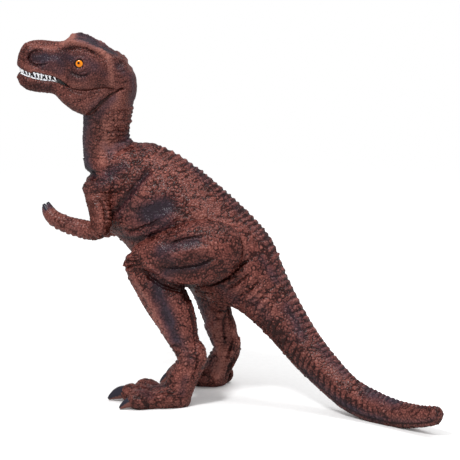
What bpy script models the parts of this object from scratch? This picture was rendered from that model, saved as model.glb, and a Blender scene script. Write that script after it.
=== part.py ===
"""Standing young tyrannosaur toy figure, moulded in solid vinyl.

Metres, +Z up. The head points to -X and the tail to +X. The figure's left side is at -Y.
It stands on two flat soles and the underside of its tail, all at height zero.
Eight castings (torso, tail, head with neck, lower jaw, two arms and two legs) and a steel pin
that the jaw turns on.
"""

import math

import bmesh
import bpy
from mathutils import Matrix, Vector

MM = 0.001

# Driving sizes of the whole figure
figure_length = 154 * MM
figure_height = 122 * MM
stance_width = 31 * MM
tail_swing = 23 * MM
foot_length = 28 * MM
# Puts the middle of the figure's length over the origin
MIDDLE_SHARE = 0.0033
middle_shift = MIDDLE_SHARE * figure_length

# The body's greatest depth and breadth, as shares of the figure's height
BODY_SIZE_SHARES = (0.300, 0.205)
body_depth, body_breadth = (share * figure_height for share in BODY_SIZE_SHARES)

# The head in its own upright frame: length as a share of the figure's length, then height,
# breadth, the jaw's depth and how far aside the head sits, as shares of the figure's height
HEAD_LENGTH_SHARE = 0.2013
HEAD_SIZE_SHARES = (0.1525, 0.1344, 0.0656, 0.0328)
head_length = HEAD_LENGTH_SHARE * figure_length
head_height, head_breadth, jaw_depth, head_aside = (
    share * figure_height for share in HEAD_SIZE_SHARES
)
head_turn = math.radians(22)
jaw_opens = math.radians(8)
jaw_closes = math.radians(0.5)

# Depth and breadth of thigh, shank and arm, and depth of a toe, as shares of the height
THIGH_SIZE_SHARES = (0.180, 0.123)
SHANK_SIZE_SHARES = (0.136, 0.090)
ARM_SIZE_SHARES = (0.0656, 0.0574)
TOE_DEPTH_SHARE = 0.0656
thigh_depth, thigh_breadth = (share * figure_height for share in THIGH_SIZE_SHARES)
shank_depth, shank_breadth = (share * figure_height for share in SHANK_SIZE_SHARES)
arm_depth, arm_breadth = (share * figure_height for share in ARM_SIZE_SHARES)
toe_depth = TOE_DEPTH_SHARE * figure_height

# Fits: glued pegs in sockets, and the jaw's hinge pin
fit_gap = 0.3 * MM
neck_peg_radius = 4 * MM
neck_peg_length = 6 * MM
tail_peg_radius = 4 * MM
tail_peg_length = 7 * MM
hip_peg_radius = 3.2 * MM
hip_peg_length = 2.6 * MM
shoulder_peg_radius = 1.6 * MM
shoulder_peg_length = 3.5 * MM
jaw_flap_thickness = 2.4 * MM
hinge_boss_radius = 2.4 * MM
pin_radius = 0.7 * MM
pin_gap = 0.1 * MM
overrun = 5 * MM
weld_reach = 0.01 * MM

# How finely the round forms are drawn
BODY_SIDES = 24
LIMB_SIDES = 16
TOE_SIDES = 12
NOSE_SIDES = 16
NEARBY_SHARE = 0.05

# Centre line of the body from neck to tail tip: x share of the length, y share of the tail swing,
# z share of the height, half depth share of the depth, half breadth share of the breadth, and
# how the section faces: its turn as a share of the head's, its rise as a share of a right angle
SPINE_SHARES = [
    (-0.283, -0.18, 0.856, 0.17, 0.20, 1.00, -0.15),
    (-0.317, -0.19, 0.800, 0.228, 0.24, 1.00, -0.08),
    (-0.325, -0.15, 0.755, 0.216, 0.26, 0.85, -0.02),
    (-0.330, -0.10, 0.710, 0.220, 0.27, 0.60, 0.09),
    (-0.327, -0.05, 0.670, 0.250, 0.295, 0.35, 0.24),
    (-0.313, -0.02, 0.642, 0.330, 0.36, 0.15, 0.37),
    (-0.301, 0.00, 0.608, 0.436, 0.42, 0.0, 0.48),
    (-0.259, 0.00, 0.566, 0.508, 0.48, 0.0, 0.50),
    (-0.208, 0.00, 0.528, 0.517, 0.50, 0.0, 0.47),
    (-0.140, 0.00, 0.458, 0.538, 0.50, 0.0, 0.49),
    (-0.075, 0.00, 0.408, 0.490, 0.49, 0.0, 0.51),
    (-0.019, 0.00, 0.364, 0.418, 0.44, 0.0, 0.53),
    (0.024, 0.00, 0.317, 0.304, 0.36, -0.1, 0.45),
    (0.061, -0.02, 0.270, 0.244, 0.315, -0.3, 0.47),
    (0.087, -0.04, 0.233, 0.218, 0.285, -0.38, 0.47),
    (0.117, -0.07, 0.191, 0.197, 0.26, -0.43, 0.49),
    (0.153, -0.12, 0.147, 0.184, 0.24, -0.6, 0.56),
    (0.210, -0.22, 0.092, 0.165, 0.205, -0.7, 0.62),
    (0.254, -0.31, 0.059, 0.160, 0.19, -0.83, 0.74),
    (0.316, -0.45, 0.038, 0.148, 0.175, -0.95, 0.89),
    (0.379, -0.62, 0.032, 0.124, 0.155, -1.08, 1.01),
    (0.441, -0.82, 0.038, 0.102, 0.13, -1.11, 1.10),
    (0.484, -0.96, 0.047, 0.088, 0.11, -1.14, 1.14),
    (0.500, -1.02, 0.053, 0.070, 0.085, -1.14, 1.15),
    (0.508, -1.05, 0.056, 0.028, 0.04, -1.14, 1.15),
]
NECK_SEAM_INDEX = 4
TAIL_SEAM_INDEX = 12
BACK_PINCH_SHARE = 0.28

# Upper head from the snout's tip back: forward share of the head length, then height shares of
# the lip, ridge and roof, and half breadth shares at the lip, cheek and ridge
SKULL_SHARES = [
    (1.000, 0.530, 0.552, 0.565, 0.06, 0.07, 0.05),
    (0.978, 0.500, 0.650, 0.695, 0.13, 0.145, 0.11),
    (0.926, 0.455, 0.755, 0.840, 0.20, 0.215, 0.165),
    (0.848, 0.393, 0.800, 0.905, 0.25, 0.262, 0.195),
    (0.732, 0.343, 0.805, 0.922, 0.285, 0.293, 0.207),
    (0.603, 0.302, 0.795, 0.897, 0.317, 0.323, 0.232),
    (0.494, 0.205, 0.840, 0.897, 0.354, 0.366, 0.28),
    (0.410, 0.105, 0.945, 0.935, 0.396, 0.427, 0.341),
    (0.323, 0.075, 1.000, 0.955, 0.433, 0.476, 0.378),
    (0.216, 0.075, 0.945, 0.905, 0.457, 0.50, 0.39),
    (0.087, 0.105, 0.820, 0.790, 0.463, 0.50, 0.384),
    (-0.042, 0.085, 0.700, 0.690, 0.445, 0.47, 0.354),
    (-0.155, 0.030, 0.585, 0.580, 0.402, 0.409, 0.305),
    (-0.250, 0.016, 0.470, 0.480, 0.305, 0.305, 0.213),
]

# Lower jaw from the chin back: forward share of the head length, height share of the lip over
# the head height, height share of the underside over the jaw depth, half breadth share
JAW_SHARES = [
    (1.000, 0.285, 0.58, 0.055),
    (0.968, 0.335, 0.30, 0.134),
    (0.903, 0.300, 0.106, 0.195),
    (0.816, 0.255, 0.01, 0.238),
    (0.710, 0.225, -0.03, 0.268),
    (0.603, 0.215, -0.09, 0.299),
    (0.516, 0.165, -0.425, 0.329),
    (0.429, 0.115, -0.70, 0.366),
    (0.332, 0.078, -0.90, 0.415),
    (0.235, 0.075, -0.98, 0.445),
    (0.139, 0.105, -0.79, 0.457),
    (0.065, 0.125, -0.46, 0.452),
    (0.000, 0.115, -0.26, 0.44),
    (-0.065, 0.090, -0.08, 0.41),
]

# Left thigh from knee to hip: x share of the length, y share of half the stance width, z share of
# the height, half depth share of the thigh depth, half breadth share of the thigh breadth
LEFT_THIGH_SHARES = [
    (-0.245, -0.98, 0.388, 0.04, 0.08),
    (-0.239, -0.98, 0.389, 0.12, 0.22),
    (-0.226, -0.98, 0.396, 0.17, 0.33),
    (-0.205, -0.98, 0.405, 0.25, 0.42),
    (-0.180, -0.96, 0.411, 0.31, 0.47),
    (-0.149, -0.94, 0.416, 0.39, 0.50),
    (-0.109, -0.91, 0.423, 0.48, 0.50),
    (-0.070, -0.86, 0.432, 0.50, 0.46),
    (-0.033, -0.76, 0.444, 0.44, 0.38),
    (-0.005, -0.66, 0.454, 0.30, 0.26),
    (0.008, -0.62, 0.458, 0.12, 0.10),
]

# The right thigh sits a little lower at the hip
RIGHT_THIGH_SHARES = [
    (-0.245, -0.98, 0.388, 0.04, 0.08),
    (-0.239, -0.98, 0.389, 0.12, 0.22),
    (-0.226, -0.98, 0.394, 0.17, 0.33),
    (-0.205, -0.98, 0.402, 0.25, 0.42),
    (-0.180, -0.96, 0.406, 0.31, 0.47),
    (-0.149, -0.94, 0.410, 0.38, 0.50),
    (-0.109, -0.91, 0.415, 0.45, 0.50),
    (-0.072, -0.86, 0.420, 0.46, 0.46),
    (-0.038, -0.76, 0.428, 0.40, 0.38),
    (-0.012, -0.66, 0.436, 0.27, 0.26),
    (0.001, -0.62, 0.440, 0.11, 0.10),
]

# Shank and instep of the left leg from knee to heel, and of the right leg, which is set a
# little straighter: shares as above, with the depth and breadth of the shank
LEFT_SHANK_SHARES = [
    (-0.235, -0.98, 0.412, 0.08, 0.15),
    (-0.230, -0.98, 0.397, 0.22, 0.33),
    (-0.211, -0.98, 0.375, 0.37, 0.44),
    (-0.176, -0.98, 0.333, 0.48, 0.50),
    (-0.152, -0.98, 0.289, 0.49, 0.49),
    (-0.134, -0.98, 0.249, 0.445, 0.45),
    (-0.119, -0.98, 0.203, 0.36, 0.39),
    (-0.109, -0.98, 0.171, 0.29, 0.36),
    (-0.096, -0.98, 0.138, 0.285, 0.37),
    (-0.105, -0.99, 0.100, 0.29, 0.36),
    (-0.120, -1.00, 0.062, 0.30, 0.40),
    (-0.129, -1.01, 0.030, 0.31, 0.44),
    (-0.131, -1.01, 0.004, 0.28, 0.42),
    (-0.131, -1.01, -0.012, 0.12, 0.20),
]
RIGHT_SHANK_SHARES = [
    (-0.215, -0.98, 0.405, 0.10, 0.15),
    (-0.208, -0.98, 0.391, 0.25, 0.33),
    (-0.192, -0.98, 0.366, 0.37, 0.44),
    (-0.155, -0.98, 0.318, 0.42, 0.50),
    (-0.135, -0.98, 0.270, 0.39, 0.48),
    (-0.122, -0.98, 0.220, 0.35, 0.44),
    (-0.110, -0.98, 0.170, 0.31, 0.39),
    (-0.101, -0.98, 0.137, 0.28, 0.36),
    (-0.092, -0.98, 0.109, 0.28, 0.37),
    (-0.102, -0.99, 0.080, 0.28, 0.36),
    (-0.115, -1.00, 0.050, 0.28, 0.40),
    (-0.123, -1.01, 0.025, 0.28, 0.44),
    (-0.125, -1.01, 0.004, 0.25, 0.42),
    (-0.125, -1.01, -0.012, 0.12, 0.20),
]

# One toe with its claw, from the instep forward: forward share of the toe's length, height
# share of the toe depth, radius share of the toe depth
TOE_SHARES = [
    (0.00, 0.34, 0.26),
    (0.10, 0.38, 0.42),
    (0.30, 0.38, 0.44),
    (0.48, 0.35, 0.39),
    (0.62, 0.39, 0.43),
    (0.74, 0.37, 0.38),
    (0.80, 0.38, 0.26),
    (0.87, 0.34, 0.23),
    (0.94, 0.22, 0.17),
    (1.00, 0.08, 0.05),
]
# Each toe's angle outward from the foot's own direction, and its length share of the foot
TOES = [("inner", -23, 0.90), ("middle", 0, 1.0), ("outer", 28, 0.84)]
FOOT_SPLAY = 6
HEEL_SHARES = [(-0.101, -0.99), (-0.079, -0.99)]
TOE_ROOT_SHARE = 0.10

# Left arm from shoulder to fingertips: x share of the length, y share of the body breadth,
# z share of the height, half depth share of the arm depth, half breadth share
LEFT_ARM_SHARES = [
    (-0.333, -0.29, 0.598, 0.14, 0.14),
    (-0.331, -0.34, 0.585, 0.50, 0.40),
    (-0.328, -0.39, 0.566, 0.62, 0.52),
    (-0.320, -0.46, 0.530, 0.52, 0.52),
    (-0.314, -0.51, 0.500, 0.47, 0.50),
    (-0.313, -0.54, 0.478, 0.46, 0.48),
    (-0.332, -0.53, 0.464, 0.42, 0.44),
    (-0.373, -0.52, 0.470, 0.38, 0.40),
    (-0.403, -0.50, 0.477, 0.35, 0.37),
    (-0.427, -0.48, 0.488, 0.33, 0.34),
    (-0.441, -0.46, 0.503, 0.28, 0.30),
    (-0.447, -0.45, 0.521, 0.19, 0.22),
    (-0.449, -0.45, 0.532, 0.06, 0.08),
]
RIGHT_ARM_SHARES = [
    (-0.333, 0.29, 0.598, 0.14, 0.14),
    (-0.331, 0.34, 0.585, 0.50, 0.40),
    (-0.328, 0.39, 0.566, 0.62, 0.52),
    (-0.314, 0.46, 0.530, 0.52, 0.52),
    (-0.300, 0.50, 0.500, 0.47, 0.50),
    (-0.295, 0.52, 0.476, 0.46, 0.48),
    (-0.305, 0.50, 0.458, 0.42, 0.44),
    (-0.333, 0.42, 0.440, 0.38, 0.40),
    (-0.357, 0.35, 0.430, 0.35, 0.37),
    (-0.375, 0.29, 0.425, 0.31, 0.34),
    (-0.388, 0.25, 0.428, 0.24, 0.30),
    (-0.397, 0.22, 0.436, 0.15, 0.22),
    (-0.400, 0.21, 0.442, 0.05, 0.08),
]

# How far the tongue that carries the jaw's pin reaches back, as a share of the head's length
TONGUE_SHARE = 0.17

# Where the jaw hinges, as shares of the figure's length and height
HINGE_SHARES = (-0.315, 0.841)

VINYL = {
    "torso": (0.17, 0.063, 0.050),
    "tail": (0.16, 0.060, 0.047),
    "head": (0.18, 0.068, 0.054),
    "lower_jaw": (0.17, 0.062, 0.049),
    "arm_left": (0.18, 0.064, 0.050),
    "arm_right": (0.18, 0.064, 0.050),
    "leg_left": (0.17, 0.062, 0.048),
    "leg_right": (0.17, 0.062, 0.048),
}
VINYL_ROUGHNESS = 0.45
STEEL = (0.55, 0.55, 0.56)
STEEL_ROUGHNESS = 0.3


def clear_scene():
    for old in list(bpy.data.objects):
        bpy.data.objects.remove(old, do_unlink=True)


def new_collection(name):
    made = bpy.data.collections.new(name)
    bpy.context.scene.collection.children.link(made)
    return made


def finish(name, colour, roughness, metallic):
    made = bpy.data.materials.new(name)
    made.use_nodes = True
    shader = made.node_tree.nodes["Principled BSDF"]
    shader.inputs["Base Color"].default_value = (*colour, 1)
    shader.inputs["Roughness"].default_value = roughness
    shader.inputs["Metallic"].default_value = metallic
    return made


def place_shell(name, rings, collection):
    """A closed solid through rings of points, each ring with as many points as the first."""
    mesh = bpy.data.meshes.new(name)
    shell = bmesh.new()
    loops = [[shell.verts.new(point) for point in ring] for ring in rings]
    count = len(loops[0])
    for near, far in zip(loops, loops[1:]):
        for i in range(count):
            j = (i + 1) % count
            shell.faces.new((near[i], near[j], far[j], far[i]))
    shell.faces.new(loops[0])
    shell.faces.new(reversed(loops[-1]))
    bmesh.ops.recalc_face_normals(shell, faces=shell.faces)
    bmesh.ops.triangulate(shell, faces=shell.faces)
    shell.to_mesh(mesh)
    shell.free()
    mesh.shade_smooth()
    mesh.set_sharp_from_angle(angle=math.radians(50))
    made = bpy.data.objects.new(name, mesh)
    collection.objects.link(made)
    return made


def between(rows, position):
    """The row at a fractional position, on a smooth curve through all rows."""
    last = len(rows) - 1
    first = min(int(position), last - 1)
    part = position - first
    before, here = rows[max(first - 1, 0)], rows[first]
    there, after = rows[first + 1], rows[min(first + 2, last)]
    square, cube = part**2, part**3
    return [
        b + (c - a) * (cube - 2 * square + part) / 2
        + (c - b) * (3 * square - 2 * cube)
        + (d - b) * (cube - square) / 2
        for a, b, c, d in zip(before, here, there, after)
    ]


def sections(rows, start, end, per_row):
    """Evenly spread sections, each with the direction in which the centre line runs there."""
    count = max(round((end - start) * per_row), 1)
    last = len(rows) - 1
    made = []
    for i in range(count + 1):
        position = start + (end - start) * i / count
        before = Vector(between(rows, max(position - NEARBY_SHARE, 0))[:3])
        after = Vector(between(rows, min(position + NEARBY_SHARE, last))[:3])
        made.append((between(rows, position), (after - before).normalized()))
    return made


def round_ring(centre, sideways, upward, half_depth, half_breadth, sides, pinch_share):
    """An oval across a limb or the body, with its upper side pinched towards a ridge."""
    ring = []
    for i in range(sides):
        angle = 2 * math.pi * i / sides
        narrowing = 1 - pinch_share * max(math.sin(angle), 0) ** 2
        ring.append(
            centre
            + sideways * (half_breadth * math.cos(angle) * narrowing)
            + upward * (half_depth * math.sin(angle))
        )
    return ring


def limb_rings(parts_of_line, sides, grow, turn=0):
    """Rings square to a limb's line, for sections of x, y, z, half depth and half breadth."""
    across = Matrix.Rotation(turn, 3, "Z") @ Vector((0, 1, 0))
    rings = []
    for row, along in parts_of_line:
        sideways = (across - along * across.dot(along)).normalized()
        upward = along.cross(sideways)
        centre = Vector(row[:3])
        ring = round_ring(centre, sideways, upward, row[3] + grow, row[4] + grow, sides, 0)
        rings.append(ring)
    rings[0] = [point - parts_of_line[0][1] * grow for point in rings[0]]
    rings[-1] = [point + parts_of_line[-1][1] * grow for point in rings[-1]]
    return rings


def spine_rows():
    right_angle = math.pi / 2
    return [
        (
            x * figure_length,
            y * tail_swing,
            z * figure_height,
            depth * body_depth,
            breadth * body_breadth,
            turn * head_turn,
            rise * right_angle,
        )
        for x, y, z, depth, breadth, turn, rise in SPINE_SHARES
    ]


def facing(row):
    """The sideways and upward directions of a body section."""
    swivel = Matrix.Rotation(row[5], 3, "Z")
    sideways = swivel @ Vector((0, 1, 0))
    upward = swivel @ Vector((math.cos(row[6]), 0, math.sin(row[6])))
    return sideways, upward


def spine_piece(name, start, end, collection):
    """The body's loft between two stations of the spine."""
    rings = []
    for row, _ in sections(spine_rows(), start, end, 2):
        sideways, upward = facing(row)
        centre = Vector(row[:3])
        ring = round_ring(
            centre, sideways, upward, row[3], row[4], BODY_SIDES, BACK_PINCH_SHARE
        )
        rings.append(ring)
    return place_shell(name, rings, collection)


def spine_step(station, distance):
    """How far along the spine's count of stations a real distance reaches from a station."""
    rows = spine_rows()
    here, there = Vector(rows[station][:3]), Vector(rows[station + 1][:3])
    return distance / (there - here).length


def seam_frame(station):
    """Place of a seam and the direction square to it, towards the tail."""
    row = spine_rows()[station]
    sideways, upward = facing(row)
    return Vector(row[:3]), sideways.cross(upward)


def cylinder(name, start, direction, length, radius, collection, sides=LIMB_SIDES):
    """A closed cylinder from a point along a direction."""
    mesh = bpy.data.meshes.new(name)
    shell = bmesh.new()
    bmesh.ops.create_cone(
        shell,
        cap_ends=True,
        segments=sides,
        radius1=radius,
        radius2=radius,
        depth=length,
        matrix=Matrix.Translation((0, 0, length / 2)),
    )
    shell.to_mesh(mesh)
    shell.free()
    made = bpy.data.objects.new(name, mesh)
    turn = direction.to_track_quat("Z", "Y").to_matrix().to_4x4()
    made.matrix_world = Matrix.Translation(start) @ turn
    collection.objects.link(made)
    return made


def block(name, low, high, frame, collection):
    """A box between two corners of a frame."""
    mesh = bpy.data.meshes.new(name)
    shell = bmesh.new()
    bmesh.ops.create_cube(shell, size=1)
    low, high = Vector(low), Vector(high)
    for vert in shell.verts:
        vert.co = low + Vector(a * (b + 0.5) for a, b in zip(high - low, vert.co))
    shell.to_mesh(mesh)
    shell.free()
    made = bpy.data.objects.new(name, mesh)
    made.matrix_world = frame
    collection.objects.link(made)
    return made


def combine(target, tools, operation):
    for tool in tools:
        step = target.modifiers.new(f"{operation.lower()}_{tool.name}", "BOOLEAN")
        step.operation = operation
        step.solver = "EXACT"
        step.object = tool


def hinge_frame():
    """The head's own frame at the jaw hinge: +X forward, +Y to its left side and +Z up."""
    x_share, z_share = HINGE_SHARES
    place = Vector((x_share * figure_length, -head_aside, z_share * figure_height))
    forward = Matrix.Rotation(head_turn, 3, "Z") @ Vector((-1, 0, 0))
    aside = Matrix.Rotation(head_turn, 3, "Z") @ Vector((0, -1, 0))
    frame = Matrix((forward, aside, (0, 0, 1))).transposed().to_4x4()
    return Matrix.Translation(place) @ frame


def skull_rings(frame):
    rings = []
    for row, _ in sections(SKULL_SHARES, 0, len(SKULL_SHARES) - 1, 2):
        ahead = row[0] * head_length
        lip, ridge, roof = (share * head_height for share in row[1:4])
        lip_side, cheek_side, ridge_side = (share * head_breadth for share in row[4:7])
        cheek = (lip + ridge) / 2
        half = [
            (0.4 * lip_side, lip),
            (0.85 * lip_side, lip),
            (lip_side, lip + 0.12 * (ridge - lip)),
            (cheek_side, cheek - 0.1 * (ridge - lip)),
            (0.96 * cheek_side, cheek + 0.2 * (ridge - lip)),
            (1.05 * ridge_side, ridge - 0.06 * (ridge - lip)),
            (0.9 * ridge_side, ridge),
            (0.4 * ridge_side, roof),
        ]
        ring = [(ahead, side, up) for side, up in half]
        ring += [(ahead, -side, up) for side, up in reversed(half)]
        rings.append([frame @ Vector(point) for point in ring])
    return rings


def jaw_rings(frame, grow, opens, closes):
    """The jaw's form, or with growth and turns the room that it sweeps through."""
    rings = []
    for row, _ in sections(JAW_SHARES, 0, len(JAW_SHARES) - 1, 2):
        ahead = row[0] * head_length
        rise = max(ahead, 0) * math.sin(closes)
        drop = max(ahead, 0) * math.sin(opens)
        lip = row[1] * head_height + rise + grow
        under = row[2] * jaw_depth - drop - grow
        side = row[3] * head_breadth + grow
        half = [
            (0.35 * side, under),
            (0.72 * side, under + 0.10 * (lip - under)),
            (0.95 * side, under + 0.35 * (lip - under)),
            (side, under + 0.70 * (lip - under)),
            (0.98 * side, lip),
            (0.5 * side, lip),
        ]
        half += [(-across, up) for across, up in reversed(half)]
        ring = [(ahead + min(up, 0) * math.sin(opens), across, up) for across, up in half]
        rings.append([frame @ Vector(point) for point in ring])
    forward = frame.to_3x3() @ Vector((grow, 0, 0))
    rings[0] = [point + forward for point in rings[0]]
    rings[-1] = [point - forward for point in rings[-1]]
    return rings


def jaw_inner_half():
    widest = max(row[3] for row in JAW_SHARES) * head_breadth
    return widest - jaw_flap_thickness


def pin_across(name, half, radius, frame, collection):
    """A cylinder of twice the half length across the head at the jaw hinge."""
    aside = frame.to_3x3() @ Vector((0, 1, 0))
    start = frame.translation - aside * half
    return cylinder(name, start, aside, 2 * half, radius, collection)


def hinge_tongue(half, frame, collection):
    """The round-nosed tongue between the jaw's flaps that the pin goes through."""
    root = -2 * TONGUE_SHARE * head_length
    outline = [(root, hinge_boss_radius)]
    for i in range(NOSE_SIDES + 1):
        angle = math.pi * (0.5 - i / NOSE_SIDES)
        outline.append(
            (hinge_boss_radius * math.cos(angle), hinge_boss_radius * math.sin(angle))
        )
    outline.append((root, -hinge_boss_radius))
    rings = [
        [frame @ Vector((ahead, across, up)) for ahead, up in outline]
        for across in (-half, half)
    ]
    return place_shell("hinge_tongue", rings, collection)


def make_head(parts, tools):
    frame = hinge_frame()
    head = place_shell("head", skull_rings(frame), parts)
    neck = spine_piece("neck_form", 0, NECK_SEAM_INDEX, tools)
    place, along = seam_frame(NECK_SEAM_INDEX)
    peg = cylinder(
        "neck_peg",
        place - along * overrun,
        along,
        overrun + neck_peg_length,
        neck_peg_radius,
        tools,
    )
    half = jaw_inner_half() - fit_gap
    core_half = half + fit_gap
    core = block(
        "hinge_core",
        (-TONGUE_SHARE * head_length, -core_half, -hinge_boss_radius - fit_gap),
        (hinge_boss_radius + fit_gap, core_half, hinge_boss_radius + fit_gap),
        frame,
        tools,
    )
    combine(head, [neck, peg, core], "UNION")
    swept = place_shell("jaw_swing", jaw_rings(frame, fit_gap, jaw_opens, jaw_closes), tools)
    combine(swept, [hinge_tongue(half, frame, tools)], "DIFFERENCE")
    bore_half = half + 0.4 * jaw_flap_thickness
    bore = pin_across("pin_bore", bore_half, pin_radius + pin_gap, frame, tools)
    combine(swept, [bore], "UNION")
    combine(head, [swept], "DIFFERENCE")
    return head


def make_lower_jaw(parts, tools):
    frame = hinge_frame()
    jaw = place_shell("lower_jaw", jaw_rings(frame, 0, 0, 0), parts)
    half = jaw_inner_half()
    pocket = block(
        "jaw_pocket",
        (-head_length, -half, -0.6 * jaw_depth),
        (0.19 * head_length, half, head_height),
        frame,
        tools,
    )
    blind = half + jaw_flap_thickness / 2
    bore = pin_across("jaw_bore", blind + pin_gap, pin_radius + pin_gap, frame, tools)
    combine(jaw, [pocket, bore], "DIFFERENCE")
    pin_across("jaw_pin", blind, pin_radius, frame, parts)
    return jaw


def leg_rows(shares, side, depth, breadth):
    """A leg's line of sections, with side -1 on the figure's left and 1 on its right."""
    return [
        (
            x * figure_length,
            -side * y * stance_width / 2,
            z * figure_height,
            half_depth * depth,
            half_breadth * breadth,
        )
        for x, y, z, half_depth, half_breadth in shares
    ]


def toe_rings(root, direction, length):
    rows = [
        (
            *(root + direction * length * along)[:2],
            up * toe_depth,
            radius * toe_depth,
            radius * toe_depth,
        )
        for along, up, radius in TOE_SHARES
    ]
    turn = math.atan2(direction.y, direction.x)
    return limb_rings(sections(rows, 0, len(rows) - 1, 1), TOE_SIDES, 0, turn)


def make_leg(name, side, thigh_shares, shank_shares, heel, parts, tools):
    thigh = leg_rows(thigh_shares, side, thigh_depth, thigh_breadth)
    thigh = sections(thigh, 0, len(thigh) - 1, 1.5)
    leg = place_shell(name, limb_rings(thigh, BODY_SIDES, 0), parts)
    seat = place_shell(name + "_seat", limb_rings(thigh, BODY_SIDES, fit_gap), tools)
    shank = leg_rows(shank_shares, side, shank_depth, shank_breadth)
    shank = sections(shank, 0, len(shank) - 1, 1.5)
    helpers = [
        place_shell(name + "_shank", limb_rings(shank, LIMB_SIDES, 0), tools)
    ]
    heel_place = Vector((heel[0] * figure_length, -side * heel[1] * stance_width / 2, 0))
    for toe, angle, length_share in TOES:
        heading = math.radians(FOOT_SPLAY + angle) * side
        direction = Matrix.Rotation(-heading, 3, "Z") @ Vector((-1, 0, 0))
        root = heel_place + direction * foot_length * TOE_ROOT_SHARE
        length = foot_length * (length_share - TOE_ROOT_SHARE)
        helpers.append(
            place_shell(f"{name}_{toe}_toe", toe_rings(root, direction, length), tools)
        )
    combine(leg, helpers, "UNION")
    hip = leg_rows(thigh_shares, side, thigh_depth, thigh_breadth)[7]
    inward = Vector((0, -side, 0))
    face = Vector(hip[:3]) + inward * (hip[4] - overrun)
    peg = cylinder(
        name + "_peg", face, inward, overrun + hip_peg_length, hip_peg_radius, tools
    )
    combine(leg, [peg], "UNION")
    socket = cylinder(
        name + "_socket",
        face,
        inward,
        overrun + hip_peg_length + fit_gap,
        hip_peg_radius + fit_gap,
        tools,
    )
    return leg, [seat, socket]


def make_arm(name, side, shares, parts, tools):
    rows = [
        (
            x * figure_length,
            y * body_breadth,
            z * figure_height,
            half_depth * arm_depth,
            half_breadth * arm_breadth,
        )
        for x, y, z, half_depth, half_breadth in shares
    ]
    shoulder = rows[2]
    rows = sections(rows, 0, len(rows) - 1, 1.5)
    arm = place_shell(name, limb_rings(rows, LIMB_SIDES, 0), parts)
    seat = place_shell(name + "_seat", limb_rings(rows, LIMB_SIDES, fit_gap), tools)
    inward = Vector((0, -side, 0))
    start = Vector(shoulder[:3])
    reach = shoulder[4] + shoulder_peg_length
    peg = cylinder(name + "_peg", start, inward, reach, shoulder_peg_radius, tools)
    combine(arm, [peg], "UNION")
    socket = cylinder(
        name + "_socket",
        start,
        inward,
        reach + fit_gap,
        shoulder_peg_radius + fit_gap,
        tools,
    )
    return arm, [seat, socket]


def make_torso(parts, tools, seats):
    torso = spine_piece("torso", NECK_SEAM_INDEX, TAIL_SEAM_INDEX, parts)
    place, along = seam_frame(NECK_SEAM_INDEX)
    above = cylinder(
        "neck_clearance", place + along * fit_gap, -along, 2 * overrun, body_depth / 3, tools
    )
    combine(torso, [above], "DIFFERENCE")
    for name, station, sign, radius, length in (
        ("neck_socket", NECK_SEAM_INDEX, 1, neck_peg_radius, neck_peg_length),
        ("tail_socket", TAIL_SEAM_INDEX, -1, tail_peg_radius, tail_peg_length),
    ):
        place, along = seam_frame(station)
        socket = cylinder(
            name,
            place - along * sign * overrun,
            along * sign,
            overrun + length + fit_gap,
            radius + fit_gap,
            tools,
        )
        combine(torso, [socket], "DIFFERENCE")
    combine(torso, seats, "DIFFERENCE")
    return torso


def make_tail(parts, tools):
    gap = spine_step(TAIL_SEAM_INDEX, fit_gap)
    tail = spine_piece("tail", TAIL_SEAM_INDEX + gap, len(SPINE_SHARES) - 1, parts)
    place, along = seam_frame(TAIL_SEAM_INDEX)
    peg = cylinder(
        "tail_peg",
        place + along * overrun,
        -along,
        overrun + tail_peg_length,
        tail_peg_radius,
        tools,
    )
    combine(tail, [peg], "UNION")
    return tail


def main():
    clear_scene()
    parts = new_collection("toy_dinosaur_figure")
    tools = new_collection("cutters")
    left_leg, left_seat = make_leg(
        "leg_left", -1, LEFT_THIGH_SHARES, LEFT_SHANK_SHARES, HEEL_SHARES[0], parts, tools
    )
    right_leg, right_seat = make_leg(
        "leg_right", 1, RIGHT_THIGH_SHARES, RIGHT_SHANK_SHARES, HEEL_SHARES[1], parts, tools
    )
    left_arm, left_shoulder = make_arm("arm_left", -1, LEFT_ARM_SHARES, parts, tools)
    right_arm, right_shoulder = make_arm("arm_right", 1, RIGHT_ARM_SHARES, parts, tools)
    make_torso(parts, tools, left_seat + right_seat + left_shoulder + right_shoulder)
    tail = make_tail(parts, tools)
    make_head(parts, tools)
    jaw = make_lower_jaw(parts, tools)
    hinge = hinge_frame().translation
    jaw.data.transform(Matrix.Translation(-hinge))
    jaw.location = hinge
    ground = block(
        "ground",
        (-figure_length, -figure_length, -figure_height),
        (figure_length, figure_length, 0),
        Matrix.Identity(4),
        tools,
    )
    for standing in (left_leg, right_leg, tail):
        combine(standing, [ground], "DIFFERENCE")
    for tool in tools.objects:
        tool.hide_render = True
        tool.display_type = "WIRE"
    for piece in [*parts.objects, *tools.objects]:
        piece.location.x -= middle_shift
    for part in parts.objects:
        weld = part.modifiers.new("weld", "WELD")
        weld.merge_threshold = weld_reach
        if part.name == "jaw_pin":
            coat = finish("steel", STEEL, STEEL_ROUGHNESS, 1)
        else:
            coat = finish(part.name + "_vinyl", VINYL[part.name], VINYL_ROUGHNESS, 0)
        part.data.materials.append(coat)


main()
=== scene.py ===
"""Looks of the toy dinosaur figure: moulded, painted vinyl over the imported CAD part.

Each casting is lofted again from the CAD's own sections, remeshed finely, and sculpted: first
muscles, folds and features, then knobs and scales. Work is in millimetres, and the finished
meshes are in metres. Strokes are given in the photograph's pixels, as seen from its camera, and
the far side of the figure gets the mirrored stroke.
"""

import math
from itertools import product

import bpy
import numpy as np
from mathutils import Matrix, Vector
from mathutils.kdtree import KDTree


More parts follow.
